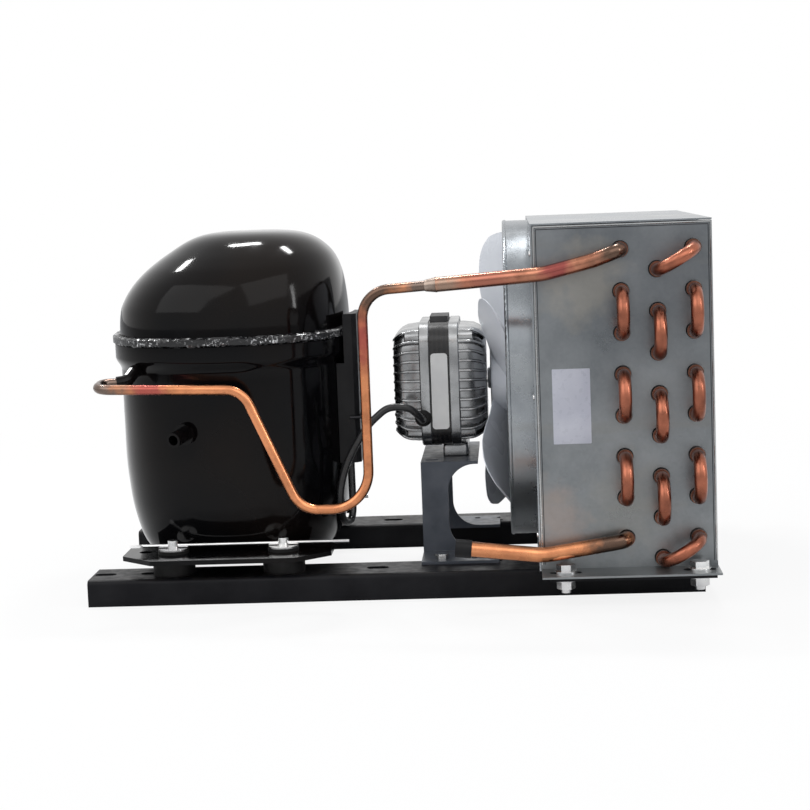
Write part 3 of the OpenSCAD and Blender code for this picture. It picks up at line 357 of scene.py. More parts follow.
@dataclass(frozen=True)
class Finish(ABC):
    """A surface finish that can build its own material."""

    name: str

    @abstractmethod
    def build(self) -> bpy.types.Material:
        """Builds the material."""


@dataclass(frozen=True)
class PowderCoat(Finish):
    """Satin paint with fine grain, dust on level tops and softened edges."""

    colour: Colour = (0.004, 0.004, 0.0055)
    light: Colour = (0.011, 0.011, 0.013)
    dust: Colour = (0.06, 0.05, 0.04)
    dust_share: float = 0.35
    shine: float = 0.14
    roughness: float = 0.38
    spread: tuple[float, float] = (-0.06, 0.1)
    tone: Mottle = Mottle(40.0, 5.0, 0.35, 0.7)
    settled: Mottle = Mottle(120.0, 6.0, 0.45, 0.75)
    gloss: Mottle = Mottle(200.0, 4.0)
    level: tuple[float, float] = (0.6, 1.0)
    grain: float = 1500.0
    bump: float = 0.12
    relief: float = 0.12 * MM
    edge: float = 0.6 * MM

    def build(self) -> bpy.types.Material:
        """Builds the material.

        Returns:
            The finished material.
        """
        g = Graph(self.name)
        body = g.mix(g.mottle(self.tone), self.colour, self.light)
        top = g.ramp(g.upward(), *self.level)
        dusty = g.math(Step.MULTIPLY, top, g.mottle(self.settled, 0.0, self.dust_share))
        smooth, rough = (self.roughness + change for change in self.spread)
        g.paint(g.mix(dusty, body, self.dust), g.mottle(self.gloss, smooth, rough))
        g.height(g.noise(self.grain, detail=2.0), self.bump, self.relief, self.edge)
        g.shader.inputs["Specular IOR Level"].default_value = self.shine
        return g.material


@dataclass(frozen=True)
class GlossEnamel(Finish):
    """Deep black enamel with a slight waviness and a fine orange peel."""

    colour: Colour = (0.002, 0.002, 0.0025)
    warm: Colour = (0.007, 0.0045, 0.0035)
    shine: float = 0.13
    roughness: float = 0.07
    dulled: float = 0.08
    tone: Mottle = Mottle(9.0, 3.0, 0.4, 0.65)
    gloss: Mottle = Mottle(60.0, 5.0, 0.35, 0.75)
    wave: float = 26.0
    peel: float = 700.0
    peel_share: float = 0.12
    bump: float = 0.2
    relief: float = 0.5 * MM

    def build(self) -> bpy.types.Material:
        """Builds the material.

        Returns:
            The finished material.
        """
        g = Graph(self.name)
        g.paint(g.mix(g.mottle(self.tone), self.colour, self.warm),
                g.mottle(self.gloss, self.roughness, self.roughness + self.dulled))
        g.shader.inputs["Specular IOR Level"].default_value = self.shine
        fine = g.math(Step.MULTIPLY, g.noise(self.peel, detail=2.0), self.peel_share)
        g.height(g.math(Step.ADD, g.noise(self.wave, detail=2.0), fine), self.bump, self.relief)
        return g.material


@dataclass(frozen=True)
class WeldBead(Finish):
    """Painted weld bead, rough, with bare bright specks."""

    coat: Colour = (0.006, 0.006, 0.007)
    speck: Colour = (0.75, 0.75, 0.76)
    roughness: tuple[float, float] = (0.1, 0.3)
    patches: Mottle = Mottle(45.0, 2.0, 0.44, 0.56)
    specks: Mottle = Mottle(520.0, 5.0, 0.55, 0.62, 0.7)
    gloss: Mottle = Mottle(200.0, 4.0)
    lumps: float = 420.0
    bump: float = 0.6
    relief: float = 0.4 * MM

    def build(self) -> bpy.types.Material:
        """Builds the material.

        Returns:
            The finished material.
        """
        g = Graph(self.name)
        bare = g.math(Step.MULTIPLY, g.mottle(self.specks), g.mottle(self.patches))
        g.paint(g.mix(bare, self.coat, self.speck), g.mottle(self.gloss, *self.roughness))
        g.link(bare, g.shader.inputs["Metallic"])
        g.height(g.noise(self.lumps, detail=4.0, rough=0.7), self.bump, self.relief)
        return g.material


@dataclass(frozen=True)
class Galvanised(Finish):
    """Zinc-coated sheet with spangle, handling stains, painted shade that darkens it towards the top, and
    tinted marks round given points.
    """

    dark: Colour = (0.17, 0.182, 0.19)
    light: Colour = (0.3, 0.315, 0.322)
    stain: Colour = (0.22, 0.2, 0.165)
    stain_share: float = 0.35
    # Painted shade: the dark colour, its greatest share and the heights over which it fades in, darker towards
    # the top.
    shade: Colour = (0.075, 0.085, 0.1)
    shade_share: float = 0.45
    shade_heights: tuple[float, float] = (20 * MM, 200 * MM)
    marks: tuple[Mark, ...] = ()
    mark_share: float = 0.3
    metallic: float = 0.85
    roughness: float = 0.34
    spread: tuple[float, float] = (-0.08, 0.14)
    cloud: float = 22.0
    crystals: float = 520.0
    crystal_share: float = 0.07
    tone: tuple[float, float] = (0.3, 0.72)
    gloss: tuple[float, float] = (0.3, 0.7)
    streaks: Mottle = Mottle(6.0, 5.0, 0.54, 0.8, 0.6)
    streak_scale: Point = (1.0, 1.0, 9.0)
    grain: float = 300.0
    bump: float = 0.05
    relief: float = 0.1 * MM

    def build(self) -> bpy.types.Material:
        """Builds the material.

        Returns:
            The finished material.
        """
        g = Graph(self.name)
        crystals = g.math(Step.MULTIPLY, g.spangle(self.crystals), self.crystal_share)
        clouds = g.math(Step.MULTIPLY, g.noise(self.cloud, detail=6.0, rough=0.6), 1.0 - self.crystal_share)
        cloudy = g.math(Step.ADD, clouds, crystals)
        colour = g.mix(g.ramp(cloudy, *self.tone), self.dark, self.light)
        # Painted shade: the sheet is mixed towards the shade colour as it rises from 20 mm to 200 mm, so it is
        # darker towards the top.
        height = g.ramp(g.along(Axis.Z), *self.shade_heights, 0.0, self.shade_share)
        colour = g.mix(height, colour, self.shade)
        streak = g.mottle(self.streaks, 0.0, self.stain_share, g.stretched(self.streak_scale))
        colour = g.mix(streak, colour, self.stain)
        for mark in self.marks:
            colour = g.mix(g.math(Step.MULTIPLY, g.near(mark), self.mark_share), colour, mark.tint)
        smooth, rough = (self.roughness + change for change in self.spread)
        g.paint(colour, g.ramp(cloudy, *self.gloss, smooth, rough), self.metallic)
        g.height(g.noise(self.grain), self.bump, self.relief)
        return g.material


@dataclass(frozen=True)
class Copper(Finish):
    """Drawn copper with brown oxide, heat colours round its brazed ends and, where a root span is given, a
    dark brown root by the end plate that is flux stain plus painted contact shade.
    """

    bright: Colour = (0.66, 0.25, 0.12)
    brown: Colour = (0.2, 0.075, 0.04)
    roughness: float = 0.2
    oxide: float = 0.6
    marks: tuple[Mark, ...] = ()
    # Y span over which the tube turns dark brown towards the end plate: flux stain plus painted contact shade.
    root: tuple[float, float] | None = None
    root_stain_and_shade: Colour = (0.12, 0.075, 0.055)
    dulled: float = 0.16
    patches: Mottle = Mottle(55.0, 6.0, 0.42, 0.68, 0.62)
    gloss: Mottle = Mottle(90.0, 4.0, 0.3, 0.75)
    grain: float = 260.0
    bump: float = 0.05
    relief: float = 0.08 * MM

    def build(self) -> bpy.types.Material:
        """Builds the material.

        Returns:
            The finished material.
        """
        g = Graph(self.name)
        colour = g.mix(g.mottle(self.patches, 0.0, self.oxide), self.bright, self.brown)
        for mark in self.marks:
            colour = g.mix(g.near(mark), colour, mark.tint)
        # Flux stain plus painted contact shade: darker brown towards the end plate along Y.
        if self.root is not None:
            colour = g.mix(g.ramp(g.along(Axis.Y), *self.root), colour, self.root_stain_and_shade)
        g.paint(colour, g.mottle(self.gloss, self.roughness, self.roughness + self.dulled), 1.0)
        g.height(g.noise(self.grain), self.bump, self.relief)
        return g.material


@dataclass(frozen=True)
class CastMetal(Finish):
    """Bare metal with a mottled grain and fine pits."""

    dark: Colour = (0.42, 0.43, 0.44)
    light: Colour = (0.82, 0.83, 0.84)
    roughness: float = 0.24
    spread: tuple[float, float] = (-0.05, 0.1)
    tone: Mottle = Mottle(40.0, 4.0, 0.3, 0.66)
    gloss: Mottle = Mottle(90.0)
    grain: float = 260.0
    bump: float = 0.22
    relief: float = 0.15 * MM
    edge: float = 0.0

    def build(self) -> bpy.types.Material:
        """Builds the material.

        Returns:
            The finished material.
        """
        g = Graph(self.name)
        smooth, rough = (self.roughness + change for change in self.spread)
        g.paint(g.mix(g.mottle(self.tone), self.dark, self.light), g.mottle(self.gloss, smooth, rough), 1.0)
        g.height(g.noise(self.grain, detail=4.0, rough=0.6), self.bump, self.relief, self.edge)
        return g.material


@dataclass(frozen=True)
class Plastic(Finish):
    """Moulded or rubbery material with a fine texture."""

    colour: Colour = (0.004, 0.004, 0.005)
    light: Colour = (0.01, 0.01, 0.011)
    shine: float = 0.5
    roughness: float = 0.42
    spread: tuple[float, float] = (-0.07, 0.08)
    tone: Mottle = Mottle(45.0, 5.0, 0.38, 0.7)
    gloss: Mottle = Mottle(260.0)
    grain: float = 900.0
    bump: float = 0.15
    relief: float = 0.08 * MM
    edge: float = 0.0

    def build(self) -> bpy.types.Material:
        """Builds the material.

        Returns:
            The finished material.
        """
        g = Graph(self.name)
        smooth, rough = (self.roughness + change for change in self.spread)
        g.paint(g.mix(g.mottle(self.tone), self.colour, self.light), g.mottle(self.gloss, smooth, rough))
        g.height(g.noise(self.grain, detail=2.0), self.bump, self.relief, self.edge)
        g.shader.inputs["Specular IOR Level"].default_value = self.shine
        return g.material


@dataclass(frozen=True)
class Laminations(Finish):
    """Stack of thin varnished steel sheets, seen on edge."""

    sheet: float = 0.5 * MM
    dark: Colour = (0.004, 0.004, 0.005)
    light: Colour = (0.011, 0.01, 0.01)
    roughness: tuple[float, float] = (0.22, 0.38)
    gloss: Mottle = Mottle(120.0)
    waver: float = 0.4
    tone: tuple[float, float] = (0.2, 0.8)
    bump: float = 0.08
    relief: float = 0.1 * MM
    bands_at_scale_one: float = 20.0

    def build(self) -> bpy.types.Material:
        """Builds the material.

        Returns:
            The finished material.
        """
        g = Graph(self.name)
        wave = g.tree.nodes.new("ShaderNodeTexWave")
        wave.bands_direction = Axis.X.value
        wave.inputs["Scale"].default_value = 1.0 / self.sheet / self.bands_at_scale_one
        wave.inputs["Distortion"].default_value = self.waver
        g.link(g.place, wave.inputs["Vector"])
        bands = wave.outputs["Fac"]
        g.paint(g.mix(g.ramp(bands, *self.tone), self.dark, self.light),
                g.mottle(self.gloss, *self.roughness))
        g.height(bands, self.bump, self.relief)
        return g.material


class FinishBook:
    """Every finish of the unit, built once when first asked for."""

    def __init__(self) -> None:
        """Starts with no material built."""
        self.built: dict[str, bpy.types.Material] = {}

    def get(self, finish: Finish) -> bpy.types.Material:
        """The material of a finish.

        Args:
            finish: The finish.

        Returns:
            Its material.
        """
        if finish.name not in self.built:
            self.built[finish.name] = finish.build()
        return self.built[finish.name]


BOOK = FinishBook()
BRAZE_BROWN = (0.12, 0.075, 0.055)
BRAZE_GREY = (0.16, 0.12, 0.1)
HEAT_RED = (0.4, 0.1, 0.08)
POWDER = PowderCoat("black_powder_coat")
BRACKET = PowderCoat("bracket_paint", (0.05, 0.058, 0.074), (0.1, 0.11, 0.13), dust_share=0.7, shine=0.3,
                     roughness=0.34)
ENAMEL = GlossEnamel("shell_enamel")
ZINC = CastMetal("bright_zinc", (0.55, 0.55, 0.56), (0.86, 0.86, 0.85), roughness=0.2, grain=500.0,
                 bump=0.08, edge=0.3 * MM)
WIRE = CastMetal("bright_wire", (0.6, 0.6, 0.61), (0.9, 0.9, 0.9), roughness=0.14, grain=600.0, bump=0.05)
CASTING = CastMetal("motor_casting", (0.17, 0.175, 0.18), (0.4, 0.405, 0.41), roughness=0.22, grain=420.0,
                    bump=0.01)
IRON = CastMetal("bare_iron", (0.16, 0.16, 0.165), (0.32, 0.32, 0.33), roughness=0.42, grain=300.0, bump=0.3)
DARK_WIRE = CastMetal("dark_wire", (0.02, 0.02, 0.022), (0.06, 0.06, 0.065), roughness=0.3, grain=500.0,
                      bump=0.05)
BRONZE = CastMetal("bush_bronze", (0.36, 0.22, 0.09), (0.55, 0.36, 0.16), roughness=0.34, grain=500.0,
                   bump=0.15)
BRAZE = CastMetal("braze_alloy", (0.11, 0.075, 0.06), (0.55, 0.45, 0.38), grain=320.0, bump=0.5)
FINS = Plastic("fin_stock", (0.4, 0.41, 0.42), (0.5, 0.51, 0.52), roughness=0.3, gloss=Mottle(20.0),
               grain=60.0, bump=0.01)
RUBBER = Plastic("grommet_rubber", (0.006, 0.006, 0.006), (0.016, 0.015, 0.015), shine=0.25, roughness=0.6,
                 grain=500.0, bump=0.3)
SHEATH = Plastic("cable_sheath", (0.008, 0.008, 0.009), (0.018, 0.018, 0.019), roughness=0.3, grain=700.0,
                 bump=0.08)
BLACK_PLASTIC = Plastic("black_plastic", shine=0.2, edge=0.5 * MM)
PALE_PLASTIC = Plastic("pale_plastic", (0.6, 0.58, 0.52), (0.72, 0.7, 0.64), roughness=0.4)
FAN_PAINT = Plastic("fan_grey", (0.72, 0.75, 0.81), (0.76, 0.79, 0.84), roughness=0.3, gloss=Mottle(14.0),
                    grain=60.0, bump=0.01)
# Painted shade: dark strip laid where the gap between the shroud sheet and the end plate falls into shade.
GAP_SHADE = Plastic("painted_gap_shade", (0.01, 0.01, 0.012), (0.02, 0.02, 0.022), shine=0.2, roughness=0.5)
LABEL = Plastic("blank_label", (0.42, 0.43, 0.5), (0.52, 0.53, 0.59), roughness=0.3, grain=300.0, bump=0.03)
MOTOR_LABEL = Plastic("motor_label_paper", (0.6, 0.6, 0.6), (0.72, 0.72, 0.71), roughness=0.35, grain=300.0,
                      bump=0.03)
WELD = WeldBead("weld_bead")
LAMINATIONS = Laminations("stack_laminations")
# The bends darken towards the end plate: flux stain plus painted contact shade round the holes.
BENDS = Copper("bend_copper", (0.36, 0.125, 0.075), (0.11, 0.042, 0.028), roughness=0.22, oxide=0.8,
               root=(-127 * MM, -121 * MM))
WINDING = Copper("winding_wire", (0.5, 0.2, 0.07), (0.25, 0.09, 0.03), roughness=0.3)
END_PLATE = Galvanised("galvanised_sheet", marks=(
    # Painted reflections: the first mark paints a pinkish reflection low on the left and the second the copper
    # inlet's reflection near the top; the third is a warm tint near the outlet row.
    Mark((98, -119, 52), 26, (0.42, 0.3, 0.24)),
    Mark((120, -119, 196), 30, (0.38, 0.34, 0.27)),
    Mark((142.7, -119, 60), 34, (0.3, 0.29, 0.26)),
))
SHROUD = Galvanised("shroud_sheet", (0.27, 0.29, 0.31), (0.46, 0.485, 0.5), roughness=0.24)
# Painted highlight: a brighter copy of the galvanised sheet for the rounded bend along the plate's edge.
LIP_HIGHLIGHT = Galvanised("folded_lip_highlight", (0.42, 0.43, 0.43), (0.6, 0.6, 0.59), roughness=0.2)
DISCHARGE = Copper("discharge_copper", (0.7, 0.28, 0.13), marks=(
    Mark((-190, -95, 141), 52, BRAZE_GREY),
    Mark((-152, -109, 138), 16, HEAT_RED),
    Mark((-16, -109, 168), 26, HEAT_RED),
    Mark((-8, -109, 196), 30, BRAZE_BROWN),
    Mark((22, -115, 198), 22, BRAZE_GREY),
))
INLET = Copper("inlet_copper", (0.46, 0.2, 0.125), (0.2, 0.08, 0.05), roughness=0.16, oxide=0.9, marks=(
    Mark((36, -117, 198), 15, (0.3, 0.2, 0.15)),
    Mark((62, -121, 199), 20, (0.34, 0.13, 0.09)),
    Mark((104, -128, 205), 12, (0.3, 0.08, 0.07)),
    Mark((140, -128, 214), 20, BRAZE_BROWN),
))
OUTLET = Copper("outlet_copper", (0.72, 0.3, 0.14), (0.3, 0.1, 0.05), roughness=0.18, oxide=0.5, marks=(
    Mark((132, -128, 36), 22, BRAZE_BROWN),
))


def half(node: str) -> tuple[Vector, Vector]:
    """Centre and half size of a CAD node.

    Args:
        node: Name of the node.

    Returns:
        The centre and the half size, in metres.
    """
    low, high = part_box(node)
    return (low + high) / 2, (high - low) / 2


def make_piece(name: str, points: Sequence[Sequence[float]], faces: Sequence[Sequence[int]], finish: Finish,
               body: Body = Body.UNIT, smooth: bool = True, crease: float = 40.0) -> bpy.types.Object:
    """Makes one mesh piece that rides on a body.

    Args:
        name: Name of the piece.
        points: Vertices in the row frame, in metres.
        faces: Vertex indices of each face.
        finish: Finish of the piece.
        body: Body that it rides on.
        smooth: Whether faces blend into each other.
        crease: Angle over which an edge stays sharp, in degrees.

    Returns:
        The new object.
    """
    mesh = bpy.data.meshes.new(name)
    mesh.from_pydata([tuple(p) for p in points], [], [tuple(f) for f in faces])
    mesh.validate()
    skin = bmesh.new()
    skin.from_mesh(mesh)
    bmesh.ops.recalc_face_normals(skin, faces=skin.faces)
    skin.to_mesh(mesh)
    skin.free()
    piece = bpy.data.objects.new(name, mesh)
    bpy.context.scene.collection.objects.link(piece)
    mesh.materials.append(BOOK.get(finish))
    if smooth:
        mesh.shade_smooth()
        mesh.set_sharp_from_angle(angle=math.radians(crease))
    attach(piece, body.value)
    return piece


def ring_faces(rings: int, sides: int) -> list[tuple[int, ...]]:
    """Faces of a skin over rings of points, closed at both ends.

    Args:
        rings: Number of rings.
        sides: Points in each ring.

    Returns:
        The faces.
    """
    faces: list[tuple[int, ...]] = []
    for i in range(rings - 1):
        for j in range(sides):
            k = (j + 1) % sides
            faces.append((i * sides + j, i * sides + k, (i + 1) * sides + k, (i + 1) * sides + j))
    faces.append(tuple(range(sides - 1, -1, -1)))
    faces.append(tuple((rings - 1) * sides + j for j in range(sides)))
    return faces


def loft(name: str, rings: Sequence[Sequence[Sequence[float]]], finish: Finish, body: Body = Body.UNIT,
         crease: float = 40.0) -> bpy.types.Object:
    """Skins a piece over rings that all have the same number of points.

    Args:
        name: Name of the piece.
        rings: Rings of points.
        finish: Finish of the piece.
        body: Body that it rides on.
        crease: Angle over which an edge stays sharp, in degrees.

    Returns:
        The new object.
    """
    points = [p for ring in rings for p in ring]
    return make_piece(name, points, ring_faces(len(rings), len(rings[0])), finish, body, crease=crease)


def rounded_route(points: Sequence[Vector], radii: Sequence[float], steps: int = 14) -> list[Vector]:
    """Route with an arc at every corner.

    Args:
        points: Corners of the route.
        radii: Bend radius at each corner.
        steps: Parts of each arc.

    Returns:
        Points along the route.
    """
    route = [points[0]]
    for i in range(1, len(points) - 1):
        before = (points[i] - points[i - 1]).normalized()
        after = (points[i + 1] - points[i]).normalized()
        turn = before.angle(after)
        start = points[i] - before * radii[i] * math.tan(turn / 2)
        side = (after - before * before.dot(after)).normalized()
        for k in range(steps + 1):
            a = turn * k / steps
            route.append(start + before * radii[i] * math.sin(a) + side * radii[i] * (1 - math.cos(a)))
    route.append(points[-1])
    return route


def smooth_route(points: Sequence[Sequence[float]], steps: int = 6) -> list[Vector]:
    """Smooth curve through points.

    Args:
        points: Points that the curve passes.
        steps: Parts between two points.

    Returns:
        Points along the curve.
    """
    p = [Vector(q) for q in points]
    route: list[Vector] = []
    for i in range(len(p) - 1):
        a = p[max(i - 1, 0)]
        b = p[i]
        c = p[i + 1]
        d = p[min(i + 2, len(p) - 1)]
        for k in range(steps):
            t = k / steps
            route.append(0.5 * (2 * b + (c - a) * t + (2 * a - 5 * b + 4 * c - d) * t * t
                                + (3 * b - a - 3 * c + d) * t ** 3))
    route.append(p[-1])
    return route


def resampled(route: Sequence[Vector], step: float) -> list[Vector]:
    """Route with points at an even spacing.

    Args:
        route: Points of the route.
        step: Wanted spacing in metres.

    Returns:
        The evenly spaced points, with both ends kept.
    """
    lengths = [0.0]
    for a, b in zip(route, route[1:]):
        lengths.append(lengths[-1] + (b - a).length)
    count = max(2, round(lengths[-1] / step))
    result = []
    j = 0
    for i in range(count + 1):
        at = lengths[-1] * i / count
        while j < len(route) - 2 and lengths[j + 1] < at:
            j += 1
        span = max(lengths[j + 1] - lengths[j], TINY)
        result.append(route[j].lerp(route[j + 1], (at - lengths[j]) / span))
    return result


def tube_rings(route: Sequence[Vector], radius: Callable[[float], float], sides: int) -> list[list[Vector]]:
    """Rings of a tube along a route, turning as little as they can.

    Args:
        route: Points along the tube.
        radius: Radius at each share of the length.
        sides: Points round the tube.

    Returns:
        The rings.
    """
    total = sum((b - a).length for a, b in zip(route, route[1:]))
    side: Vector | None = None
    done = 0.0
    rings = []
    for i, p in enumerate(route):
        ahead = route[min(i + 1, len(route) - 1)]
        behind = route[max(i - 1, 0)]
        direction = (ahead - behind).normalized()
        if side is None:
            side = direction.orthogonal()
        side = (side - direction * side.dot(direction)).normalized()
        across = direction.cross(side)
        if i:
            done += (p - route[i - 1]).length
        r = radius(done / total)
        turns = [2 * math.pi * j / sides for j in range(sides)]
        rings.append([p + (side * math.cos(turn) + across * math.sin(turn)) * r for turn in turns])
    return rings


def in_metres(profile: Sequence[tuple[float, float]]) -> list[tuple[float, float]]:
    """Profile in metres.

    Args:
        profile: Pairs in millimetres.

    Returns:
        The same pairs in metres.
    """
    return [(place * MM, radius * MM) for place, radius in profile]


def lathe(name: str, profile: Sequence[tuple[float, float]], centre: Point, finish: Finish,
          body: Body = Body.UNIT, sides: int = 48, crease: float = 35.0) -> bpy.types.Object:
    """Turned piece about a line along X.

    Args:
        name: Name of the piece.
        profile: Pairs of place along the line and radius.
        centre: Point on the line that the profile starts from.
        finish: Finish of the piece.
        body: Body that it rides on.
        sides: Points round the piece.
        crease: Angle over which an edge stays sharp, in degrees.

    Returns:
        The new object.
    """
    x, y, z = centre
    turns = [2 * math.pi * j / sides for j in range(sides)]
    rings = [[(x + place, y + r * math.cos(turn), z + r * math.sin(turn)) for turn in turns]
             for place, r in profile]
    return loft(name, rings, finish, body, crease)


def monotone(table: Sequence[tuple[float, ...]], at: float, column: int) -> float:
    """Value of a table's column at a place, on a smooth curve with no overshoot.

    Args:
        table: Rows that start with their place.
        at: Place to read.
        column: Column to read.

    Returns:
        The value.
    """
    xs = [row[0] for row in table]
    ys = [row[column] for row in table]
    i = min(max(int(np.searchsorted(xs, at)) - 1, 0), len(xs) - 2)
    slopes = [(ys[k + 1] - ys[k]) / (xs[k + 1] - xs[k]) for k in range(len(xs) - 1)]

    def tangent(k: int) -> float:
        """Slope of the curve at a row.

        Args:
            k: Number of the row.

        Returns:
            The slope.
        """
        if k == 0:
            return slopes[0]
        if k == len(xs) - 1:
            return slopes[-1]
        a, b = slopes[k - 1], slopes[k]
        return 0.0 if a * b <= 0 else 2 * a * b / (a + b)

    h = xs[i + 1] - xs[i]
    t = min(max((at - xs[i]) / h, 0.0), 1.0)
    return ((2 * t ** 3 - 3 * t * t + 1) * ys[i] + (t ** 3 - 2 * t * t + t) * h * tangent(i)
            + (3 * t * t - 2 * t ** 3) * ys[i + 1] + (t ** 3 - t * t) * h * tangent(i + 1))


@dataclass(frozen=True)
class Lamp:
    """Soft area light that faces the unit; `share` is its part of the studio's key power."""

    name: str
    place: Point
    size: tuple[float, float]
    share: float = 1.0


@dataclass
class Studio:
    """Floor, lights, world and the camera of the photograph."""

    sensor_mm: float = 36.0
    focal_px: float = 1898.7
    frame_px: float = 810.0
    place: Point = (75.28 * MM, -1276.9 * MM, 262.9 * MM)
    yaw: float = -0.056
    pitch: float = 0.115
    roll: float = -0.038
    shift: tuple[float, float] = (-0.0026, -0.008)
    key: float = 10.0
    lamps: tuple[Lamp, ...] = (
        Lamp("front_left", (-1.1, -1.1, 1.3), (1.7, 1.3)),
        Lamp("front_right", (0.8, -1.3, 1.5), (1.7, 1.3), 0.8),
        Lamp("strip_right", (1.5, -0.7, 0.8), (0.12, 0.7), 0.4),
        Lamp("panel_left", (-0.74, 0.52, 1.24), (0.22, 0.1), 0.5),
        Lamp("panel_middle", (-0.24, 0.6, 1.36), (0.2, 0.08), 0.45),
        Lamp("panel_right", (0.26, 0.52, 1.36), (0.22, 0.1), 0.5))
    aim: Point = (0.0, 0.0, 0.12)
    fill: Colour = (0.93, 0.96, 1.0)
    fill_strength: float = 0.42
    floor_half: float = 12.0
    floor_dark: Colour = (0.82, 0.82, 0.82)
    floor_pale: Colour = (0.85, 0.85, 0.85)
    floor_cloud: float = 3.0
    floor_grain: float = 5.0
    floor_roughness: tuple[float, float] = (0.7, 0.8)
    floor_glow: float = 0.86
    fade: tuple[float, float] = (0.3, 0.9)

    def camera(self) -> None:
        """Sets up the camera at the photograph's angle."""
        data = bpy.data.cameras.new("camera")
        data.lens = self.sensor_mm * self.focal_px / self.frame_px
        data.shift_x, data.shift_y = self.shift
        camera = bpy.data.objects.new("camera", data)
        bpy.context.scene.collection.objects.link(camera)
        ahead = Vector((math.sin(self.yaw) * math.cos(self.pitch), math.cos(self.yaw) * math.cos(self.pitch),
                        -math.sin(self.pitch)))
        right = Vector((math.cos(self.yaw), -math.sin(self.yaw), 0.0))
        up = right.cross(ahead)
        turned = right * math.cos(self.roll) + up * math.sin(self.roll)
        raised = up * math.cos(self.roll) - right * math.sin(self.roll)
        matrix = Matrix((turned, raised, -ahead)).transposed().to_4x4()
        matrix.translation = self.place
        camera.matrix_world = matrix
        bpy.context.scene.camera = camera

    def softbox(self, lamp: Lamp) -> None:
        """Adds one area light.

        Args:
            lamp: The light's name, place, size and share.
        """
        data = bpy.data.lights.new(lamp.name, "AREA")
        data.shape = "RECTANGLE"
        data.size, data.size_y = lamp.size
        data.energy = self.key * lamp.share
        light = bpy.data.objects.new(lamp.name, data)
        bpy.context.scene.collection.objects.link(light)
        light.location = lamp.place
        light.rotation_euler = (Vector(self.aim) - Vector(lamp.place)).to_track_quat("-Z", "Y").to_euler()

    def world(self) -> None:
        """Pale world that is white to the camera and to reflections."""
        world = bpy.data.worlds.new("studio")
        bpy.context.scene.world = world
        world.use_nodes = True
        tree = world.node_tree
        tree.nodes.clear()
        out = tree.nodes.new("ShaderNodeOutputWorld")
        path = tree.nodes.new("ShaderNodeLightPath")
        fill = tree.nodes.new("ShaderNodeBackground")
        fill.inputs[0].default_value = (*self.fill, 1.0)
        fill.inputs[1].default_value = self.fill_strength
        white = tree.nodes.new("ShaderNodeBackground")
        white.inputs[0].default_value = (1.0, 1.0, 1.0, 1.0)
        white.inputs[1].default_value = 1.0
        mix = tree.nodes.new("ShaderNodeMixShader")
        seen = tree.nodes.new("ShaderNodeMath")
        seen.operation = "MAXIMUM"
        rays = tree.nodes.new("ShaderNodeMath")
        rays.operation = "MAXIMUM"
        for source, target in ((path.outputs["Is Camera Ray"], seen.inputs[0]),
                               (path.outputs["Is Transmission Ray"], seen.inputs[1]),
                               (seen.outputs[0], rays.inputs[0]),
                               (path.outputs["Is Glossy Ray"], rays.inputs[1]),
                               (rays.outputs[0], mix.inputs[0]),
                               (fill.outputs[0], mix.inputs[1]),
                               (white.outputs[0], mix.inputs[2]),
                               (mix.outputs[0], out.inputs[0])):
            tree.links.new(source, target)

    def floor(self) -> None:
        """Plain pale floor that keeps the unit's shadow and fades to white away from it."""
        reach = self.floor_half
        mesh = bpy.data.meshes.new("floor")
        corners = [(-reach, -reach, 0.0), (reach, -reach, 0.0), (reach, reach, 0.0), (-reach, reach, 0.0)]
        mesh.from_pydata(corners, [], [(0, 1, 2, 3)])
        floor = bpy.data.objects.new("floor", mesh)
        bpy.context.scene.collection.objects.link(floor)
        g = Graph("pale_floor")
        g.paint(g.mix(g.noise(self.floor_cloud), self.floor_dark, self.floor_pale),
                g.ramp(g.noise(self.floor_grain), 0.0, 1.0, *self.floor_roughness))
        glow = g.tree.nodes.new("ShaderNodeEmission")
        glow.inputs[1].default_value = 1.0
        path = g.tree.nodes.new("ShaderNodeLightPath")
        away = g.tree.nodes.new("ShaderNodeVectorMath")
        away.operation = "LENGTH"
        g.link(g.place, away.inputs[0])
        bright = g.ramp(away.outputs["Value"], *self.fade, self.floor_glow, 1.0)
        share = g.math(Step.MULTIPLY, path.outputs["Is Camera Ray"], bright)
        mix = g.tree.nodes.new("ShaderNodeMixShader")
        g.link(share, mix.inputs[0])
        g.link(g.shader.outputs[0], mix.inputs[1])
        g.link(glow.outputs[0], mix.inputs[2])
        g.link(mix.outputs[0], g.output.inputs[0])
        mesh.materials.append(g.material)

    def build(self) -> None:
        """Builds the whole studio."""
        bpy.context.scene.view_settings.view_transform = "Standard"
        self.camera()
        self.world()
        self.floor()
        for lamp in self.lamps:
            self.softbox(lamp)


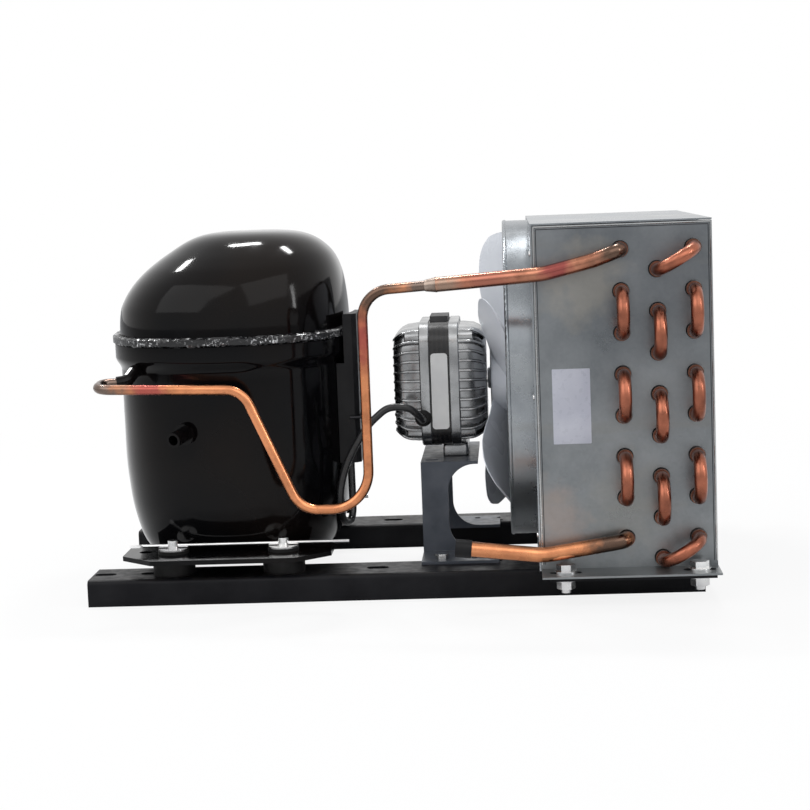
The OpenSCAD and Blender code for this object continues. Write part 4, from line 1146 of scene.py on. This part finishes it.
@dataclass
class Compressor:
    """Hermetic shell: lower half with its flared rim, dome and the weld bead between them.

    Each row of shares holds a height, a half length, a half depth and, on the dome, a shift to the right.
    """

    power: float = 2.5
    sides: int = 128
    rows: int = 46
    crowding: float = 1.6
    dome_crowding: float = 1.5
    overlap: float = 2 * MM
    flare: float = 3.5 * MM
    flare_rows: int = 12
    flare_start: float = 0.88
    flare_rise: float = 0.06
    lower_shares: tuple[tuple[float, float, float], ...] = (
        (0.0, 0.66, 0.7), (0.014, 0.76, 0.8), (0.052, 0.84, 0.855), (0.135, 0.91, 0.92), (0.3, 0.974, 0.975),
        (0.5, 1.0, 1.0), (0.88, 1.0, 1.0))
    upper_shares: tuple[tuple[float, float, float, float], ...] = (
        (0.0, 1.0, 1.0, 0.0), (0.16, 0.997, 0.998, 0.0), (0.3, 0.986, 0.986, 0.004),
        (0.42, 0.957, 0.962, 0.022), (0.54, 0.91, 0.92, 0.052), (0.66, 0.84, 0.85, 0.092),
        (0.76, 0.757, 0.76, 0.13), (0.84, 0.668, 0.67, 0.155), (0.9, 0.588, 0.59, 0.165),
        (0.94, 0.515, 0.52, 0.168), (0.97, 0.43, 0.44, 0.165), (0.99, 0.32, 0.33, 0.155),
        (0.998, 0.2, 0.21, 0.145), (1.0, 0.1, 0.1, 0.14))
    bead_seed: int = 7
    bead_count: int = 540
    bead_sides: int = 10
    bead_passes: int = 2
    bead_blend: float = 2.2
    bead_lump: float = 0.10
    bead_ripple: float = 0.08
    bead_pitch: float = 6.0
    bead_middle: float = 0.55
    bead_width: float = 1.15
    bead_height: float = 0.95
    bead_out: float = 1.2 * MM
    bead_sag: float = 1 * MM

    def __post_init__(self) -> None:
        """Takes the shell's sizes from the frame."""
        self.centre, size = half("lower_shell")
        self.a = size.x - self.flare
        self.b = size.y - self.flare
        self.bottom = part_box("lower_shell")[0].z
        self.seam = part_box("lower_shell")[1].z
        self.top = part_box("upper_shell")[1].z

    def around(self, turn: float) -> tuple[float, float]:
        """Point of the shell's outline, on a superellipse of half size 1.

        Args:
            turn: Angle in radians.

        Returns:
            Its X and Y.
        """
        c, s = math.cos(turn), math.sin(turn)
        return math.copysign(abs(c) ** (2 / self.power), c), math.copysign(abs(s) ** (2 / self.power), s)

    def ring(self, a: float, b: float, x: float, z: float) -> list[Point]:
        """Ring round the shell.

        Args:
            a: Half length.
            b: Half depth.
            x: Offset along X from the shell's centre.
            z: Height.

        Returns:
            The ring's points.
        """
        points = []
        for j in range(self.sides):
            c, s = self.around(2 * math.pi * j / self.sides)
            points.append((self.centre.x + x + a * c, self.centre.y + b * s, z))
        return points

    def lower(self) -> None:
        """Lower half of the shell, up to its flared rim."""
        table = self.lower_shares
        height = self.seam - self.bottom
        rings = []
        for i in range(self.rows + 1):
            share = table[-1][0] * (i / self.rows) ** self.crowding
            a, b = self.a * monotone(table, share, 1), self.b * monotone(table, share, 2)
            rings.append(self.ring(a, b, 0.0, self.bottom + height * share))
        for k in range(1, self.flare_rows + 1):
            t = k / self.flare_rows
            grow = self.flare * (t * t * (3 - 2 * t))
            rings.append(self.ring(self.a + grow, self.b + grow, 0.0,
                                   self.bottom + height * (self.flare_start + self.flare_rise * t)))
        rings.append(self.ring(self.a + self.flare, self.b + self.flare, 0.0, self.seam))
        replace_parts(loft("lower_shell_skin", rings, ENAMEL), "lower_shell")

    def upper(self) -> None:
        """Dome with its sloping shoulder and raised platform."""
        table = self.upper_shares
        rows = self.rows * 2
        rings = [self.ring(self.a, self.b, 0.0, self.seam - self.overlap)]
        for i in range(rows + 1):
            share = 1 - (1 - i / rows) ** self.dome_crowding
            a, b = self.a * monotone(table, share, 1), self.b * monotone(table, share, 2)
            lean = self.a * monotone(table, share, 3)
            rings.append(self.ring(a, b, lean, self.seam + (self.top - self.seam) * share))
        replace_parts(loft("upper_shell_skin", rings, ENAMEL, crease=50.0), "upper_shell")

    def weld(self) -> None:
        """Rough bead round the seam."""
        rng = np.random.default_rng(self.bead_seed)
        low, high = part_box("shell_weld")
        count, steps = self.bead_count, self.bead_sides
        jitter = rng.normal(0.0, 1.0, (count, steps))
        for _ in range(self.bead_passes):
            jitter = (jitter + np.roll(jitter, 1, 0) + np.roll(jitter, -1, 0)) / self.bead_blend
        points = []
        rise = (high.z - low.z) / 2
        for j in range(count):
            x, y = self.around(2 * math.pi * j / count)
            ripple = 0.5 + 0.5 * math.sin(2 * math.pi * j / self.bead_pitch)
            for k in range(steps):
                a = 2 * math.pi * k / steps
                r = 1.0 + self.bead_lump * jitter[j, k] + self.bead_ripple * ripple
                out = self.flare * self.bead_middle + rise * self.bead_width * r * math.cos(a)
                out = min(out, self.flare + self.bead_out)
                z = low.z + rise * self.bead_height + rise * self.bead_height * r * math.sin(a)
                points.append((self.centre.x + (self.a + out) * x, self.centre.y + (self.b + out) * y,
                               min(max(z, low.z - self.bead_sag), high.z)))
        faces = []
        for j in range(count):
            n = (j + 1) % count
            for k in range(steps):
                m = (k + 1) % steps
                faces.append((j * steps + k, n * steps + k, n * steps + m, j * steps + m))
        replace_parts(make_piece("weld_bead", points, faces, WELD), "shell_weld")

    def build(self) -> None:
        """Builds the shell."""
        self.lower()
        self.upper()
        self.weld()


CAD_LOOKS: tuple[tuple[Finish, tuple[str, ...]], ...] = (
    (POWDER, ("front_rail", "rear_rail", "condenser_shelf")),
    (BRACKET, ("motor_bracket",)),
    (ENAMEL, ("compressor_feet", "lower_shell", "upper_shell", "discharge_stub", "suction_stub",
              "process_stub")),
    (WELD, ("shell_weld",)),
    (ZINC, ("rail_studs", "grommet_sleeves", "grommet_washers", "motor_screws", "fan_nut", "bracket_screws",
            "motor_foot_screws", "shroud_rivets", "condenser_bolts", "condenser_washers", "condenser_nuts",
            "piston")),
    (WIRE, ("retaining_rods", "fan_shaft")),
    (DARK_WIRE, ("terminal_clip",)),
    (RUBBER, ("grommets", "lead_gland")),
    (BLACK_PLASTIC, ("terminal_cover", "terminal_block", "motor_strap", "outlet_cap")),
    (PALE_PLASTIC, ("start_relay",)),
    (LAMINATIONS, ("pump_stator", "pump_rotor", "fan_stator", "fan_rotor")),
    (WINDING, ("pump_windings", "fan_windings")),
    (IRON, ("crankshaft", "pump_block", "cylinder_head", "connecting_rod", "suspension_springs")),
    (CASTING, ("front_motor_cover", "rear_motor_cover")),
    (BRONZE, ("fan_bushes",)),
    (SHEATH, ("fan_lead",)),
    (FAN_PAINT, ("fan",)),
    (SHROUD, ("shroud",)),
    (END_PLATE, ("front_endplate", "rear_endplate")),
    (FINS, ("fin_pack",)),
    (BENDS, ("hairpin_tubes", "return_bends", "discharge_pipe", "inlet_pipe", "outlet_pipe")),
    (BRAZE, ("braze_joints",)),
)


def dress(nodes: Sequence[str], finish: Finish) -> None:
    """Gives CAD nodes their finish.

    Args:
        nodes: Names of the nodes.
        finish: The finish.
    """
    for node in nodes:
        data = frame["nodes"][node].data
        data.materials.clear()
        data.materials.append(BOOK.get(finish))
        log.info("dressed %s in %s", node, finish.name)


@dataclass
class PipeRun:
    """Bent copper pipes, from the compressor's stub round to the coil, and the liquid outlet.

    Corners and bend radii are in millimetres.
    """

    sides: int = 28
    step: float = 1.6 * MM
    line_radius: float = 6.35 / 2 * MM
    inlet_radius: float = 9.5 / 2 * MM - 0.2 * MM
    tail_radius: float = 9.5 / 2 * MM
    stub_end: Point = (-176.0, -87.0, 140.9)
    joint: Point = (30.8, -116.02, 198.12)
    line_y: float = -109.0
    tail_y: float = -128.0
    hole_y: float = -121.4
    coil_x: float = 142.7
    inlet_z: float = 216.0
    outlet_z: float = 38.2

    def pipe(self, name: str, corners: Sequence[Point], bends: Sequence[float], radius: float, finish: Finish,
             node: str) -> None:
        """One bent pipe.

        Args:
            name: Name of the piece.
            corners: Corners of its route in millimetres.
            bends: Bend radius at each corner in millimetres.
            radius: Radius of the pipe in metres.
            finish: Its finish.
            node: CAD node that it replaces.
        """
        route = rounded_route([Vector(corner) * MM for corner in corners], [bend * MM for bend in bends])
        rings = tube_rings(resampled(route, self.step), lambda share: radius, self.sides)
        piece = loft(name, rings, finish, crease=60.0)
        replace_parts(piece, node)

    def discharge(self) -> None:
        """Narrow line from the stub, down past the motor and up to the braze."""
        y = self.line_y
        corners = [self.stub_end, (-185.0, -89.0, 140.9), (-185.0, y, 139.3), (-93.0, y, 136.3),
                   (-59.5, y, 59.5), (-16.0, y, 59.5), (-16.0, y, 195.0), self.joint]
        bends = [0, 7, 9, 16, 18, 24, 18, 0]
        self.pipe("discharge_line", corners, bends, self.line_radius, DISCHARGE, "discharge_pipe")

    def inlet(self) -> None:
        """Wider pipe from the braze into the coil's top row."""
        y = self.tail_y
        corners = [self.joint, (44.0, -118.0, 199.0), (95.7, y, 203.0), (125.7, y, 210.0),
                   (self.coil_x, y, self.inlet_z), (self.coil_x, self.hole_y, self.inlet_z)]
        bends = [0, 40, 40, 30, 7, 0]
        self.pipe("inlet_line", corners, bends, self.inlet_radius, INLET, "inlet_pipe")

    def outlet(self) -> None:
        """Liquid tail from the coil's bottom row to its cap."""
        y = self.tail_y
        corners = [(38.7, y, 36.4), (91.7, y, 30.5), (self.coil_x, y, self.outlet_z),
                   (self.coil_x, self.hole_y, self.outlet_z)]
        bends = [0, 40, 7, 0]
        self.pipe("outlet_line", corners, bends, self.tail_radius, OUTLET, "outlet_pipe")

    def build(self) -> None:
        """Builds the three pipes."""
        self.discharge()
        self.inlet()
        self.outlet()


@dataclass
class MotorLead:
    """Short lead from the motor's gland to the electrical box."""

    diameter: float = 4.8 * MM
    sides: int = 20
    points: tuple[Point, ...] = (
        (0.016, -0.044, 0.1065), (0.016, -0.05, 0.1065), (0.014, -0.056, 0.11), (0.009, -0.06, 0.115),
        (0.002, -0.062, 0.117), (-0.006, -0.062, 0.116), (-0.013, -0.062, 0.111), (-0.019, -0.061, 0.105),
        (-0.024, -0.061, 0.098), (-0.029, -0.06, 0.09), (-0.033, -0.06, 0.082), (-0.036, -0.06, 0.074),
        (-0.038, -0.06, 0.066), (-0.039, -0.059, 0.058), (-0.039, -0.057, 0.05), (-0.038, -0.053, 0.043),
        (-0.036, -0.047, 0.04), (-0.034, -0.041, 0.041), (-0.033, -0.037, 0.046), (-0.033, -0.0355, 0.054),
        (-0.033, -0.0355, 0.062), (-0.033, -0.036, 0.071), (-0.033, -0.036, 0.08))

    def build(self) -> None:
        route = smooth_route(self.points)
        rings = tube_rings(route, lambda share: self.diameter / 2, self.sides)
        lead = loft("motor_lead", rings, SHEATH, crease=60.0)
        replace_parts(lead, "fan_lead")


@dataclass
class FanWheel:
    """Five pitched blades on a pressed hub.

    Each row of shares holds a share of the radius, the blade's width and the depths of its two edges.
    Hub and boss profiles hold a place along the axis and a radius, in millimetres.
    """

    blades: int = 5
    turn: float = 2.0
    half_angle: float = 26.0
    radius: float = 98 * MM
    root: float = 0.24
    crowding: float = 1.5
    camber: float = 4 * MM
    thickness: float = 1.5 * MM
    edge: float = 0.35
    edge_slope: float = 6
    depth: float = 31 * MM
    lead: float = 4 * MM
    gap: float = 0.6 * MM
    chord_steps: int = 20
    span_steps: int = 26
    shares: tuple[tuple[float, float, float, float], ...] = (
        (0.24, 1.0, 0.24, 0.66), (0.4, 1.0, 0.17, 0.75), (0.56, 1.0, 0.06, 0.86), (0.72, 1.0, 0.0, 0.95),
        (0.86, 0.98, 0.02, 1.0), (0.95, 0.88, 0.1, 0.98), (1.0, 0.7, 0.25, 0.87))
    hub: tuple[tuple[float, float], ...] = (
        (2.0, 3.1), (2.0, 23.0), (2.6, 24.5), (4.0, 25.0), (17.0, 25.0), (17.0, 23.4), (4.6, 23.0),
        (4.2, 7.0))
    boss: tuple[tuple[float, float], ...] = (
        (0.0, 3.1), (0.0, 6.2), (0.5, 6.8), (1.4, 7.0), (18.2, 7.0), (19.0, 6.4), (19.0, 3.1))

    def __post_init__(self) -> None:
        """Takes the fan's place from the frame."""
        self.axis_z = half("fan_nut")[0].z
        self.hub_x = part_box("front_motor_cover")[1].x + self.gap

    def blade(self, index: int) -> None:
        """One blade.

        Args:
            index: Number of the blade.
        """
        rings = []
        turn = math.radians(self.turn + 360 * index / self.blades)
        for i in range(self.span_steps + 1):
            share = self.root + (1 - self.root) * (1 - (1 - i / self.span_steps) ** self.crowding)
            r = self.radius * share
            chord, left, right = (monotone(self.shares, share, column) for column in (1, 2, 3))
            upper, lower = [], []
            for k in range(self.chord_steps + 1):
                t = k / self.chord_steps
                a = turn + math.radians((t - 0.5) * 2 * self.half_angle * chord)
                x = (self.hub_x - self.lead + self.depth * (left + (right - left) * t)
                     + self.camber * share * (1 - (2 * t - 1) ** 2))
                thin = self.thickness / 2 * min(1.0, self.edge + self.edge_slope * min(t, 1 - t))
                y, z = -r * math.sin(a), self.axis_z + r * math.cos(a)
                upper.append((x - thin, y, z))
                lower.append((x + thin, y, z))
            rings.append(upper + lower[::-1])
        loft(f"fan_blade_{index + 1}", rings, FAN_PAINT, Body.ROTOR, 50.0)

    def build(self) -> None:
        """Builds the blades and the hub."""
        for index in range(self.blades):
            self.blade(index)
        centre = (self.hub_x, 0.0, self.axis_z)
        hub = lathe("fan_hub", in_metres(self.hub), centre, FAN_PAINT, Body.ROTOR, 72)
        lathe("fan_boss", in_metres(self.boss), centre, FAN_PAINT, Body.ROTOR)
        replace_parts(hub, "fan")


@dataclass
class MotorCovers:
    """Two ribbed castings with smooth rims, screw bosses and the foot block.

    Profiles hold millimetres: the rim's are a place along the axis, a half width and a corner radius, the
    boss's a place and a radius, and the foot's a rise and an inset.
    """

    ribs: int = 12
    rib: float = 1.9 * MM
    rib_half: float = 40.5
    rib_taper: float = 6.2
    taper_start: float = 0.25
    taper_power: float = 2.4
    rib_thinning: float = 0.25
    rib_soft: float = 0.55
    rib_stations: int = 14
    rim: float = 6.5 * MM
    depth: float = 17.5 * MM
    half_w: float = 41 * MM
    corner: float = 16 * MM
    corner_steps: int = 10
    profile: tuple[Point, ...] = (
        (0.0, 30.0, 8.0), (0.0, 40.6, 15.6), (0.4, 41.0, 16.0), (5.9, 41.0, 16.0), (6.5, 40.5, 15.6),
        (6.8, 37.5, 14.0), (16.0, 36.8, 14.0), (20.0, 35.0, 14.0), (22.6, 32.6, 14.0), (23.6, 30.6, 13.0),
        (24.0, 28.0, 12.0), (24.0, 12.0, 11.9))
    boss_at: float = 31
    boss: tuple[tuple[float, float], ...] = (
        (0.5, 2.1), (0.5, 6.0), (9.0, 6.0), (15.6, 5.2), (16.2, 4.6), (16.2, 2.1))
    foot_x: tuple[float, float] = (27.7 * MM, 44.7 * MM)
    foot_half_y: float = 22 * MM
    foot_corner: float = 2
    foot_corner_steps: int = 6
    foot_narrowing: float = 0.5
    foot_profile: tuple[tuple[float, float], ...] = (
        (0.0, 0.6), (0.5, 0.1), (1.2, 0.0), (6.0, 0.0), (8.4, 1.0), (9.5, 3.0))

    def __post_init__(self) -> None:
        """Takes the motor's place from the frame."""
        self.left, self.right = (corner.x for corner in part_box("fan_stator"))
        self.axis_z = half("fan_stator")[0].z

    def ring(self, x: float, half_w: float, corner: float) -> list[Point]:
        """Rounded square about the motor's axis.

        Args:
            x: Place along the axis.
            half_w: Half of the square's width.
            corner: Radius of its corners.

        Returns:
            The ring's points.
        """
        points = []
        for quarter in range(4):
            for k in range(self.corner_steps + 1):
                a = math.pi / 2 * (quarter + k / self.corner_steps)
                cy = (half_w - corner) * (1 if quarter in (0, 3) else -1)
                cz = (half_w - corner) * (1 if quarter in (0, 1) else -1)
                points.append((x, cy + corner * math.cos(a), self.axis_z + cz + corner * math.sin(a)))
        return points

    def width(self, t: float) -> float:
        """Half width of the ribs at a share of the cover's depth.

        Args:
            t: Share of the depth, 0 at the rim.

        Returns:
            The half width in metres.
        """
        bend = max(0.0, (t - self.taper_start) / (1 - self.taper_start))
        return (self.rib_half - self.rib_taper * bend ** self.taper_power) * MM

    def body(self, name: str, start: float, way: int) -> bpy.types.Object:
        """Rim and closed wall of one cover.

        Args:
            name: Name of the piece.
            start: Place of its joint face.
            way: 1 to the right and -1 to the left.

        Returns:
            The piece.
        """
        rings = [self.ring(start + way * x * MM, w * MM, r * MM) for x, w, r in self.profile]
        if way < 0:
            rings = [ring[::-1] for ring in rings]
        return loft(name, rings, CASTING, crease=32.0)

    def ribbing(self, name: str, start: float, way: int) -> None:
        """Ribs that wrap the two sides of one cover.

        Args:
            name: Name of the piece.
            start: Place where the ribs start.
            way: 1 to the right and -1 to the left.
        """
        points: list[Point] = []
        faces: list[tuple[int, ...]] = []
        stations = self.rib_stations
        for i in range(self.ribs):
            z = -self.half_w + (i + 0.5) * 2 * self.half_w / self.ribs
            base = len(points)
            for k in range(stations + 1):
                t = k / stations
                half_w = self.width(t)
                level = z * (half_w - self.rib) / self.half_w
                over = max(0.0, abs(level) + self.rib / 2 - (half_w - self.corner))
                reach = half_w - self.corner + math.sqrt(max(self.corner ** 2 - over ** 2, TINY))
                thick = self.rib / 2 * (1.0 - self.rib_thinning * t)
                soft = thick * self.rib_soft
                for y, dz in ((-reach, -thick + soft), (-reach + soft, -thick), (reach - soft, -thick),
                              (reach, -thick + soft), (reach, thick - soft), (reach - soft, thick),
                              (-reach + soft, thick), (-reach, thick - soft)):
                    points.append((start + way * self.depth * t, y, self.axis_z + level + dz))
            faces.extend(tuple(base + n for n in face) for face in ring_faces(stations + 1, 8))
        make_piece(name, points, faces, CASTING, crease=50.0)

    def bosses(self, name: str, start: float, way: int) -> None:
        """Four screw bosses on one cover.

        Args:
            name: Start of each piece's name.
            start: Place of the cover's joint face.
            way: 1 to the right and -1 to the left.
        """
        profile = [(way * x, r) for x, r in in_metres(self.boss)]
        for i, (y, z) in enumerate(((1, 1), (-1, 1), (1, -1), (-1, -1))):
            centre = (start, y * self.boss_at * MM, self.axis_z + z * self.boss_at * MM)
            lathe(f"{name}_{i + 1}", profile, centre, CASTING, sides=24)

    def foot(self) -> None:
        """Foot block under the right cover, which stands on the bracket."""
        middle = (self.foot_x[0] + self.foot_x[1]) / 2
        half_x = (self.foot_x[1] - self.foot_x[0]) / 2
        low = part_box("motor_bracket")[1].z
        rings = []
        for rise, inset in self.foot_profile:
            ring = []
            for quarter in range(4):
                for k in range(self.foot_corner_steps + 1):
                    a = math.pi / 2 * (quarter + k / self.foot_corner_steps)
                    cx = (half_x - self.foot_corner * MM) * (1 if quarter in (0, 3) else -1)
                    cy = (self.foot_half_y - self.foot_corner * MM) * (1 if quarter in (0, 1) else -1)
                    r = (self.foot_corner - inset * self.foot_narrowing) * MM
                    ring.append((middle + cx + r * math.cos(a), cy + r * math.sin(a), low + rise * MM))
            rings.append(ring)
        loft("motor_foot_block", rings, CASTING)

    def build(self) -> None:
        """Builds both covers and the foot."""
        for node, start, way in (("rear_motor_cover", self.left, -1), ("front_motor_cover", self.right, 1)):
            body = self.body(f"{node}_body", start, way)
            self.ribbing(f"{node}_ribs", start + way * self.rim, way)
            self.bosses(f"{node}_boss", start, way)
            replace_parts(body, node)
        self.foot()


@dataclass
class PlateEdges:
    """Folded lip, brightened as a painted highlight, and a dark joint line that paints the shade in the gap,
    along three edges of the front end plate, in millimetres.

    Each row of trims holds a name, how far in it lies, its width, how far it stands off and its finish.
    """

    face: float = -118.95
    lip_inset: float = 0.7
    foot_rise: float = 4.0
    arc_steps: int = 8
    # The lip's brighter finish is a painted highlight; the joint is a dark strip that paints the shade in the
    # gap.
    trims: tuple[tuple[str, float, float, float, Finish], ...] = (
        ("lip", 0.0, 1.3, 0.7, LIP_HIGHLIGHT), ("joint", 1.5, 0.9, 0.06, GAP_SHADE))

    def strip(self, name: str, start: Point, end: Point, width: float, rise: float, finish: Finish) -> None:
        """Thin rounded strip.

        Args:
            name: Name of the piece.
            start: Middle of its first end in millimetres.
            end: Middle of its other end in millimetres.
            width: Its width in millimetres.
            rise: How far it stands off the plate in millimetres.
            finish: Its finish.
        """
        ahead = (Vector(end) - Vector(start)).normalized()
        across = ahead.cross(Vector((0.0, -1.0, 0.0)))
        rings = []
        for place in (start, end):
            ring = []
            for k in range(self.arc_steps + 1):
                a = math.pi * k / self.arc_steps
                ring.append((Vector(place) + across * (width / 2 * math.cos(a))
                             + Vector((0.0, -rise * math.sin(a), 0.0))) * MM)
            rings.append(ring)
        loft(name, rings, finish, crease=50.0)

    def build(self) -> None:
        """Builds the lip, with its painted highlight, and the joint line of painted gap shade on the top,
        right and left edge.
        """
        low, high = (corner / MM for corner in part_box("front_endplate"))
        top = high.z - self.lip_inset
        left, right = low.x + self.lip_inset, high.x - self.lip_inset
        foot = low.z + self.foot_rise
        for name, inset, width, rise, finish in self.trims:
            top_left = (left + inset, self.face, top - inset)
            top_right = (right - inset, self.face, top - inset)
            self.strip(f"top_{name}", top_left, top_right, width, rise, finish)
            self.strip(f"right_{name}", top_right, (right - inset, self.face, foot), width, rise, finish)
            self.strip(f"left_{name}", (left + inset, self.face, foot), top_left, width, rise, finish)


@dataclass
class Labels:
    """Blank paper labels on the motor and on the condenser's end plate, in millimetres."""

    lift: float = 0.12
    corner_steps: int = 6
    motor: tuple[Point, Point] = ((22.2, -41.0, 99.0), (33.2, -41.0, 149.0))
    motor_corner: float = 2.2
    end_plate: tuple[Point, Point] = ((99.5, -119.0, 97.7), (122.7, -119.0, 144.0))
    end_plate_corner: float = 0.6

    def plate(self, name: str, corners: tuple[Point, Point], corner: float, finish: Finish) -> None:
        """Thin label with rounded corners in an XZ plane.

        Args:
            name: Name of the piece.
            corners: Lower left and upper right corner in millimetres.
            corner: Radius of its corners in millimetres.
            finish: Its finish.
        """
        (x0, y, z0), (x1, _, z1) = corners
        outline = []
        for cx, cz, start in ((x1 - corner, z1 - corner, 0), (x0 + corner, z1 - corner, 90),
                              (x0 + corner, z0 + corner, 180), (x1 - corner, z0 + corner, 270)):
            for k in range(self.corner_steps + 1):
                a = math.radians(start + 90 / self.corner_steps * k)
                outline.append((cx + corner * math.cos(a), cz + corner * math.sin(a)))
        rings = [[(x * MM, (y - d) * MM, z * MM) for x, z in outline] for d in (0.0, self.lift)]
        loft(name, rings, finish, crease=30.0)

    def build(self) -> None:
        """Builds the two labels."""
        self.plate("motor_label", self.motor, self.motor_corner, MOTOR_LABEL)
        self.plate("end_plate_label", self.end_plate, self.end_plate_corner, LABEL)


@dataclass
class FinStack:
    """Thin plate fins, closer together than the solids carry them."""

    pitch: float = 2.5 * MM
    sheet: float = 0.4 * MM
    bow: float = 0.35 * MM
    waves: int = 12

    def build(self) -> None:
        """Builds the fins as one mesh."""
        low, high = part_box("fin_pack")
        count = int((high.y - low.y - self.sheet) / self.pitch)
        points: list[Point] = []
        faces: list[tuple[int, ...]] = []
        for i in range(count + 1):
            y = low.y + self.sheet + (high.y - low.y - 2 * self.sheet) * i / count
            base = len(points)
            for k in range(self.waves + 1):
                x = low.x + (high.x - low.x) * k / self.waves
                bow = self.bow * (k % 2) if 0 < k < self.waves else 0.0
                for z in (low.z, high.z):
                    for d in (-self.sheet / 2, self.sheet / 2):
                        points.append((x, y + bow + d, z))
            for k in range(self.waves):
                a, b = base + 4 * k, base + 4 * k + 4
                faces.extend(((a, b, b + 2, a + 2), (a + 1, a + 3, b + 3, b + 1), (a, a + 1, b + 1, b),
                              (a + 2, b + 2, b + 3, a + 3)))
        fins = make_piece("fins", points, faces, FINS, smooth=False)
        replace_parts(fins, "fin_pack")


def main() -> None:
    """Dresses the CAD nodes, builds every sub-assembly in order and logs each piece."""
    logging.basicConfig(level=logging.INFO)
    for finish, nodes in CAD_LOOKS:
        dress(nodes, finish)
    for assembly in (Studio(), Compressor(), PipeRun(), MotorLead(), FanWheel(), MotorCovers(), PlateEdges(),
                     Labels(), FinStack()):
        before = set(bpy.data.objects.keys())
        assembly.build()
        for piece in sorted(set(bpy.data.objects.keys()) - before):
            log.info("%s: built %s", type(assembly).__name__, piece)


if __name__ == "__main__":
    main()
